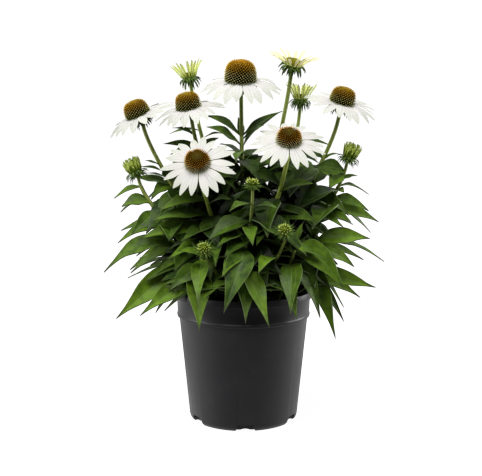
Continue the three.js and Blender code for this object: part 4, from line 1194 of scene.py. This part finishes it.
soil = {"top": 145, "holeBottom": 123.3, "radius": 73.6}
cupOutline = [(0, 0.3), (0.35, 0.56), (0.68, 0.86), (1, 1)]  # shares of the height and of the width
cup = {"ofDome": 0.86, "ofBud": 0.72, "deep": 5, "deeper": 0.4, "neck": 0.8, "middle": 0.5, "bulge": 0.2,
       "sides": 20}
bracts = {
    "bloom": {"rounds": 4, "around": 12, "width": 3.2, "reach": 2.0, "hook": 7.0, "rise": 1.0},
    "young": {"rounds": 4, "around": 10, "width": 2.9, "reach": 2.2, "hook": 8.5, "rise": 0.8},
    "flat": {"rounds": 4, "around": 9, "width": 3.5, "reach": 2.6, "hook": 8.5, "rise": 0.8},
    "bud": {"rounds": 4, "around": 9, "width": 2.4, "reach": 4.6, "hook": 5.5, "rise": 0.8},
    "smallBud": {"rounds": 3, "around": 9, "width": 1.7, "reach": 7.0, "hook": 0.0, "rise": 1.6},
}
bractHabit = {
    "from": 0.35, "to": 0.95, "sunk": 0.8, "reachOut": 0.3, "reachUp": 0.5, "bendAt": 0.75, "hookLow": 1.3,
    "hookLess": 0.6, "hookBy": 2.5, "tipOut": 0.8, "turnBy": 0.16, "widthBy": 0.15,
}
stalk = {"radius": 2.3, "atFoot": 1.12, "atHead": 0.88, "rings": 26, "neckShare": 0.5, "shootBend": 0.6,
         "shootRise": 26}
leafHabit = {"archAt": 0.45, "ripple": 0.06, "twist": 0.9, "sway": 0.16, "long": 88, "short": 60}

# A leaf that would have touched a neighbour was bent aside by one of these steps: degrees round its stem,
# lift of the tip and arch.
bends = [
    (0, 0, 0), (0, 0, 5), (0, 0, -5), (4, 0, 0), (-4, 0, 0), (0, 4, 0), (0, -4, 0), (0, 0, 10),
    (8, 0, 3), (-8, 0, 3), (8, -4, 0), (-8, -4, 0), (0, 8, 4), (0, -8, 4), (12, 4, 0), (-12, 4, 0),
    (12, -6, 4), (-12, -6, 4), (18, 0, 0), (-18, 0, 0), (18, 8, 6), (-18, 8, 6), (18, -8, 0), (-18, -8, 0),
    (26, 0, 0), (-26, 0, 0), (26, 10, 6), (-26, 10, 6), (36, 4, 0), (-36, 4, 0), (36, 14, 6), (-36, 14, 6),
    (48, 8, 0), (-48, 8, 0), (48, -6, 0), (-48, -6, 0),
]
bendFit = {"fold": 0.16, "within": 0.15}  # within: the most that a mark may miss the solid's points by


def cupSize(stem):
    radius = domes[stem["dome"]]["radius"]
    wide = cup["ofDome"] * radius * rays[stem["rays"]]["plate"] if "rays" in stem else cup["ofBud"] * radius
    return wide, cup["deep"] + cup["deeper"] * radius


def stemLine(stem):
    foot = Vector((*stem["foot"], soil["holeBottom"]))
    if "top" in stem:
        end = Vector(stem["top"])
        bend = Vector((*foot.lerp(end, stalk["shootBend"]).xy, soil["top"] + stalk["shootRise"]))
        return [foot, Vector((*stem["foot"], soil["top"])), bend, end]
    neck = Vector(stem["head"]) - pointing(stem["lean"], stem["toward"]) * cupSize(stem)[1]
    bend = neck - pointing(stalk["neckShare"] * stem["lean"], stem["toward"]) * stem["bow"]
    return [foot, Vector((*stem["foot"], soil["top"] + stem["rise"])), bend, neck]


def makeStalk(stem, line):
    deselectAll()
    bpy.ops.curve.primitive_bezier_curve_add()
    rod = bpy.context.object
    first, last = rod.data.splines[0].bezier_points
    for point in (first, last):
        point.handle_left_type = point.handle_right_type = "FREE"
    first.co, first.handle_right, last.handle_left, last.co = [point * mm for point in line]
    first.handle_left, last.handle_right = first.co, last.co
    first.radius, last.radius = stalk["atFoot"], stalk["atHead"]
    rod.data.bevel_depth = stem.get("radius", stalk["radius"]) * mm
    rod.data.bevel_resolution = 4
    rod.data.resolution_u = stalk["rings"]
    rod.data.use_fill_caps = True
    bpy.ops.object.convert(target="MESH")
    rod = bpy.context.object
    rod.data.materials.append(stalkGreen)
    # the share of painted light that lightens this stem
    keepNumber(rod.data, "tone", stem.get("lightGreen", 0))
    smoothShading(rod, 60)
    return rod


def leafSpine(base, tip, arch):
    return [base, base.lerp(tip, leafHabit["archAt"]) + upward * arch, tip]


def leafKind(base, tip):
    length = (tip - base).length
    if length > leafHabit["long"]:
        return "longLeaf"
    return "shortLeaf" if length > leafHabit["short"] else "smallLeaf"


def leafSide(base, tip, roll):
    return (tip - base).cross(Vector((0, -roll, 1)))


def solidPoints(node):
    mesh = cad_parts[node].data
    points = KDTree(len(mesh.vertices))
    for k, vert in enumerate(mesh.vertices):
        points.insert(vert.co, k)
    points.balance()
    return points


def grownWay(points, base, tip, width, arch, roll):  # how the solid's leaf was bent, or None if it has none
    for turn, lift, bow in bends:
        end = base + Matrix.Rotation(math.radians(turn), 3, "Z") @ (tip - base) + upward * lift
        along, share, left, right = bladeShapes[leafKind(base, end)]["lastRing"]
        half, fold = width * share / 2, width * share * bendFit["fold"]
        marks = alongSpine(leafSpine(base, end, arch + bow), leafSide(base, end, roll), np.full(2, along),
                           np.array([-half, half]), np.array([fold + width * left, fold + width * right]))
        if all(points.find(Vector(mark) * mm)[2] < bendFit["within"] * mm for mark in (*marks, end)):
            return end, arch + bow
    return None


fillHabit = {  # level: the share of a leaf's length that it reaches out; drop and lift: shares of it too
    "backEdge": 123, "level": 0.85, "leastBack": 0.1, "longest": 102, "shortest": 62, "overHeight": 180,
    "lengthBy": 0.1, "risingFrom": 190, "risingTo": 230, "drop": 0.4, "lift": 0.75, "dropBy": 0.16,
    "width": 0.23, "arch": 0.22, "roll": 0.7, "rollBy": 0.5,
}


def fillLeaves(stem):  # the leaves that fill up a stem, by the same rule as in its solid
    fill, habit, line = stem.get("fill", {"count": 0}), fillHabit, stemLine(stem)
    for k in range(fill["count"]):
        height = between(*fill["from"], (k + 0.5) / fill["count"])
        base = atHeight(line, height)
        turn = math.radians(fill["toward"] + fill["spread"] * wander(k + fill["count"]))
        free = (habit["backEdge"] - base.y) / (habit["level"] * max(habit["leastBack"], math.sin(turn)))
        length = between(habit["longest"], habit["shortest"], (height - soil["top"]) / habit["overHeight"])
        length = min(free, length * (1 + habit["lengthBy"] * wander(k + 3)))
        rise = max(0, math.sin(turn)) * smoothStep(height, habit["risingFrom"], habit["risingTo"])
        drop = length * (habit["drop"] - habit["lift"] * rise + habit["dropBy"] * wander(k + 7))
        tip = base + around(turn) * habit["level"] * length
        yield (height, (tip.x, tip.y, height - drop), length * habit["width"], length * habit["arch"],
               habit["roll"] + habit["rollBy"] * wander(k))


# paintedSideLight: painted light, the leaves towards the sides are made lighter
leafTone = {"usual": 0.45, "lowFront": 0.2, "paintedSideLight": 0.16, "own": 0.26,
            "lowTo": (170, 260), "frontFrom": (20, 110), "paintedSideLightFrom": (70, 150)}


def toneOf(height, tip, number):  # 0 is a deep green, 1 a light yellow green: it wanders from leaf to leaf, is lighter low at the front, and is lighter towards the sides as painted light
    low = 1 - smoothStep(height, *leafTone["lowTo"])
    front = smoothStep(-tip[1], *leafTone["frontFrom"])
    paintedSideLight = smoothStep(abs(tip[0]), *leafTone["paintedSideLightFrom"])
    return (leafTone["usual"] + leafTone["lowFront"] * low * front + leafTone["paintedSideLight"] * paintedSideLight
            + leafTone["own"] * wander(number))


# Small leaves that close the thicket between the stems, and keep clear of the soil and the pot's rim.
# heart, rim, shoulder and crown set where the painted shade in the bush is full and where it fades
bush = {"wide": 160, "deep": 122, "heart": 0.25, "rim": 0.8, "shoulder": 250, "crown": 330}
inner = {
    "lowest": 150, "step": 4, "highest": 0.93, "highestOfShoot": 200, "longLow": 68, "longHigh": 58,
    "longFrom": 160, "longTo": 300, "lengthBy": 0.2, "level": 0.9, "drop": 0.4, "dropBy": 0.2,
    "width": 0.46, "arch": 0.2, "within": 0.8, "overRim": 66, "clearRim": 170, "clearSoil": 152,
    # tone: the small inner leaves get a darker tone, painted shade deep in the bush
    "roll": 0.3, "ripple": 0.05, "sway": 0.2, "tone": 0.25, "toneBy": 0.2,
}
tuft = {  # the youngest leaves at the tip of a shoot
    "leaves": 4, "lean": 24, "leanMore": 6, "toward": 40, "turnOn": 137, "length": 26, "lessEach": 3,
    "width": 7, "arch": 2, "roll": 0.3, "ripple": 0.04, "twist": 0.6, "tone": 0.75,
}


def innerPlaces(stem, number):
    line = stemLine(stem)
    topLeaf = max([leaf[0] for leaf in stem["leaves"]] or [inner["highestOfShoot"]])
    highest = between(soil["top"], topLeaf, inner["highest"])
    for k in range(int((highest - inner["lowest"]) / inner["step"])):
        height = inner["lowest"] + inner["step"] * k
        length = between(inner["longLow"], inner["longHigh"],
                         smoothStep(height, inner["longFrom"], inner["longTo"]))
        length *= 1 + inner["lengthBy"] * wander(k + number)
        base = atHeight(line, height)
        tip = base + around((k + 3 * number) * goldenTurn) * length * inner["level"]
        tip.z -= length * (inner["drop"] + inner["dropBy"] * wander(k + 5))
        overRim = tip.xy.length > inner["overRim"]
        tip.z = max(tip.z, inner["clearRim"] if overRim else inner["clearSoil"])
        if math.hypot(tip.x / bush["wide"], tip.y / bush["deep"]) <= inner["within"]:
            yield base, tip, length


def innerLeaves(stem, number):
    for k, (base, tip, length) in enumerate(innerPlaces(stem, number)):
        yield layBlade(leafMasters["smallLeaf"], leafSpine(base, tip, inner["arch"] * length),
                       leafSide(base, tip, inner["roll"]), inner["width"] * length, inner["ripple"],
                       k + number, wander(k + 2), inner["sway"] * wander(k + 5),
                       tone=inner["tone"] + inner["toneBy"] * wander(k + number), veins=0)


def tuftLeaves(end):
    for k in range(tuft["leaves"]):
        outward = pointing(tuft["lean"] + tuft["leanMore"] * k, tuft["toward"] + tuft["turnOn"] * k)
        tip = end + outward * (tuft["length"] - tuft["lessEach"] * k)
        yield layBlade(leafMasters["smallLeaf"], leafSpine(end, tip, tuft["arch"]),
                       leafSide(end, tip, tuft["roll"]), tuft["width"], tuft["ripple"], k,
                       tuft["twist"] * wander(k), tone=tuft["tone"], veins=0)


def namedLeaves(stem, node, number):
    line, points, missing = stemLine(stem), solidPoints(node), 0
    for k, (height, tip, width, arch, roll) in enumerate([*stem["leaves"], *fillLeaves(stem)]):
        base, own = atHeight(line, height), k + number
        found = grownWay(points, base, Vector(tip), width, arch, roll)
        if found is None:
            missing += 1
            continue
        end, bow = found
        yield layBlade(leafMasters[leafKind(base, end)], leafSpine(base, end, bow),
                       leafSide(base, end, roll), width, leafHabit["ripple"], own,
                       leafHabit["twist"] * wander(own + 6), leafHabit["sway"] * wander(own + 13),
                       tone=toneOf(height, tip, own), veins=max(0, wander(own + 4)))
    if missing:
        print("  ", node, "has", missing, "leaves fewer than planned")


def growCup(stem, number):
    wide, deep = cupSize(stem)
    tall = deep - plate["half"] - plate["gap"]
    profile = [(wide * share if k else stem["radius"] * cup["neck"], place * tall - deep)
               for k, (place, share) in enumerate(cupOutline)]
    top = (cup["middle"] * wide, tall - deep + cup["bulge"])
    base = turnProfile("cup", [*profile, top], cup["sides"])
    base.data.materials.append(bractGreen)
    smoothShading(base, 50)
    form, habit = bracts.get(stem["dome"], bracts["bloom"]), bractHabit
    parts = [base]
    for ring in range(form["rounds"]):
        place = between(habit["from"], habit["to"], ring / (form["rounds"] - 1))
        span, high = wide * through(cupOutline, 1, place) - habit["sunk"], place * tall - deep
        reach = form["reach"] + habit["reachOut"] * wide + habit["reachUp"] * ring
        hang = form["hook"] * (habit["hookLow"] - habit["hookLess"] * place)
        for k in range(form["around"]):
            own = k + 17 * ring + number
            outward = around(2 * math.pi * (k + 0.5 * ring + habit["turnBy"] * wander(own)) / form["around"])
            root = outward * span + upward * high
            bend = root + outward * reach * habit["bendAt"] + upward * form["rise"]
            hook = hang + habit["hookBy"] * wander(own + 4)
            tip = root + outward * (reach + habit["tipOut"] + wander(own)) - upward * hook
            parts.append(layBlade(bractMaster, [root, bend, tip], outward.cross(upward),
                                  form["width"] * (1 + habit["widthBy"] * wander(own + 8))))
    piece = joinParts("cup", parts)
    piece.data.transform(headPlace(stem))
    return piece


def noteShadeInBush(mesh):  # how much painted shade a point gets: 1 in the heart of the bush, 0 at its outside and above it
    x, y, z = pointsOf(mesh).T / mm
    far = np.hypot(x / bush["wide"], y / bush["deep"])
    out = ease(np.clip((far - bush["heart"]) / (bush["rim"] - bush["heart"]), 0, 1))
    high = ease(np.clip((z - bush["shoulder"]) / (bush["crown"] - bush["shoulder"]), 0, 1))
    keepNumber(mesh, "inside", (1 - out) * (1 - high))


def growStem(stem, node, number):
    line = stemLine(stem)
    parts = [makeStalk(stem, line), *namedLeaves(stem, node, number), *innerLeaves(stem, number)]
    parts += tuftLeaves(line[-1]) if "top" in stem else [growCup(stem, number)]
    piece = joinParts("foliage_" + node.removeprefix("leafy_"), parts)
    noteShadeInBush(piece.data)
    return piece


stems = [("leafy_shoot_", shoot) for shoot in shoots] + [("leafy_stem_", stem) for stem in flowers + buds]
for k, (prefix, stem) in enumerate(stems):
    node = prefix + stem["name"]
    handOver(growStem(stem, node, 7 * k), "foliage", node)
print("stems and leaves grown")

petalRings = []
for k, stem in enumerate(flowers):
    name, young = stem["name"], isYoung(stem)
    handOver(growDome(stem, "spikes_" + name), "young_cone" if young else "cone", "cone_" + name)
    ring = growRays(stem, "petals_" + name, 29 * k)
    petalRings.append(handOver(ring, "young_petals" if young else "petals", "rays_" + name))
for stem in buds:
    handOver(growDome(stem, "spikes_" + stem["name"]), "bud", "knob_" + stem["name"])
print("heads grown")


# The pot and its mix.

pot = {
    "height": 158, "rimRadius": 83, "lipHeight": 8, "collarRadius": 80.6, "collarBottom": 127,
    "bodyTopRadius": 77.7, "bodyBottomRadius": 65.8, "footRadius": 63, "footInnerRadius": 58,
    "footChamfer": 3.5, "wall": 1.5, "floorBottom": 2.5, "floorTop": 4.2, "notches": 6, "notchWidth": 29,
    "notchHeight": 8.2, "notchDepth": 20, "notchTaper": 0.62, "notchRounding": 1.6, "firstNotch": -88,
    "edge": 0.9, "sides": 120,
}


def cutNotch(shell, turn):
    middle = around(turn) * pot["bodyBottomRadius"] * mm
    deselectAll()
    bpy.ops.mesh.primitive_cube_add(
        size=1, location=middle, rotation=(0, 0, turn),
        scale=(pot["notchDepth"] * mm, pot["notchWidth"] * mm, 2 * pot["notchHeight"] * mm))
    cutter = bpy.context.object
    bpy.ops.object.transform_apply(location=True, rotation=True, scale=True)
    startEdit(cutter)
    scalePoints(cutter, lambda co: co.z > 0, (pot["notchTaper"], pot["notchTaper"], 1), middle)
    endEdit()
    applyModifier(cutter, "BEVEL", width=pot["notchRounding"] * mm, segments=3)
    applyModifier(shell, "BOOLEAN", object=cutter, operation="DIFFERENCE", solver="EXACT")
    bpy.data.objects.remove(cutter)


def makePot():
    wall, lip, foot = pot["wall"], pot["height"] - pot["lipHeight"], pot["footChamfer"]
    body, top, collar, rim = (pot[name + "Radius"] for name in ("bodyBottom", "bodyTop", "collar", "rim"))
    step = pot["collarBottom"]
    shell = turnProfile("pot_shell", [
        (2, pot["floorBottom"]), (pot["footInnerRadius"], pot["floorBottom"]),  # under the floor
        (pot["footInnerRadius"], 0.01), (pot["footRadius"], 0), (body - 0.7, foot - 1.2),
        (body, foot + 1.5), (top, step - 1.6), (collar - 0.4, step), (collar - 0.1, step + 2.2),  # the wall
        (collar - 0.9, step + 3.6), (collar, lip - 1.2), (rim, lip), (rim, pot["height"]),
        (rim - wall - 1, pot["height"] - 0.01), (collar - wall, step + 1), (top - wall, step - 1),  # inside
        (body - wall, pot["floorTop"]), (2, pot["floorTop"] + 0.01),
    ], pot["sides"])
    for k in range(pot["notches"]):
        cutNotch(shell, math.radians(pot["firstNotch"] + 360 * k / pot["notches"]))
    applyModifier(shell, "BEVEL", width=pot["edge"] * mm, segments=3, limit_method="ANGLE",
                  angle_limit=math.radians(28))
    shell.data.materials.clear()
    shell.data.materials.append(potMaterial(potLook))
    smoothShading(shell, 30)
    return shell


mix = {"floor": 4.6, "floorRadius": 60, "sides": 40, "uneven": 1.6, "unevenFrom": 143, "seed": 5}
crumbs = {"count": 520, "smallest": 1.1, "largest": 4.2, "kinds": 3, "uneven": 0.45, "flat": (1, 0.7, 0.5),
          "height": 145.4, "heightBy": 0.8, "fromWall": 4, "turnOn": 2.4, "tilt": 0.6}


def makeCrumb(material, seed):
    deselectAll()
    bpy.ops.mesh.primitive_ico_sphere_add(subdivisions=1, radius=1)
    crumb = bpy.context.object
    startEdit(crumb)
    bpy.ops.mesh.select_all(action="SELECT")
    bpy.ops.transform.vertex_random(offset=crumbs["uneven"], uniform=0.4, seed=seed)
    bpy.ops.transform.resize(value=crumbs["flat"])
    endEdit()
    crumb.data.materials.append(material)
    return crumb


def makeMix():
    wide = soil["radius"]
    mound = turnProfile("potting_crumbs", [
        (2, mix["floor"]), (mix["floorRadius"], mix["floor"]), (63.4, 7), (wide - 0.8, 124),
        (wide - 0.4, 141.5), (wide - 3, 144), (60, 145), (46, 145), (32, 145), (18, 145.5), (4, 145.5),
    ], mix["sides"])
    startEdit(mound)
    pick(mound, lambda co: co.z > mix["unevenFrom"] * mm)
    bpy.ops.transform.vertex_random(offset=mix["uneven"] * mm, uniform=0.6, seed=mix["seed"])
    endEdit()
    material = mixMaterial(mixLook)
    mound.data.materials.append(material)
    kinds = [makeCrumb(material, mix["seed"] + k) for k in range(crumbs["kinds"])]
    parts = [mound]
    for k in range(crumbs["count"]):
        far = (wide - crumbs["fromWall"]) * math.sqrt((k + 0.5) / crumbs["count"])
        scale = between(crumbs["smallest"], crumbs["largest"], (0.5 + 0.5 * wander(3 * k + 1)) ** 2)
        spot = around(k * goldenTurn) * far + upward * (crumbs["height"] + crumbs["heightBy"] * wander(k))
        place = Matrix.Translation(spot * mm) @ Matrix.Rotation(crumbs["turnOn"] * k, 4, "Z")
        place = place @ Matrix.Rotation(crumbs["tilt"] * wander(k + 2), 4, "X") @ Matrix.Scale(scale * mm, 4)
        parts.append(copyOf(kinds[k % len(kinds)], place))
    piece = joinParts("potting_crumbs", parts)
    for crumb in kinds:
        bpy.data.objects.remove(crumb)
    return piece


handOver(makePot(), "pot", "nursery_pot")
handOver(makeMix(), "potting_mix", "potting_mix")
print("pot and mix made")

for master in masters:
    bpy.data.objects.remove(master)

pieces = [piece for piece in bpy.data.objects if piece.type == "MESH" and piece not in petalRings]
tinted = [*pieces, *[ring for ring in petalRings if petals["white"].name not in ring.data.materials]]
lightOnly("leftSoftbox", tinted)  # the near lamps would burn out the white petals
lightOnly("rightSoftbox", tinted)
lightOnly("topSoftbox", pieces)
lightOnly("petalLight", petalRings)
lightOnly("petalSky", petalRings, pieces)  # the thin petals let this light through to each other
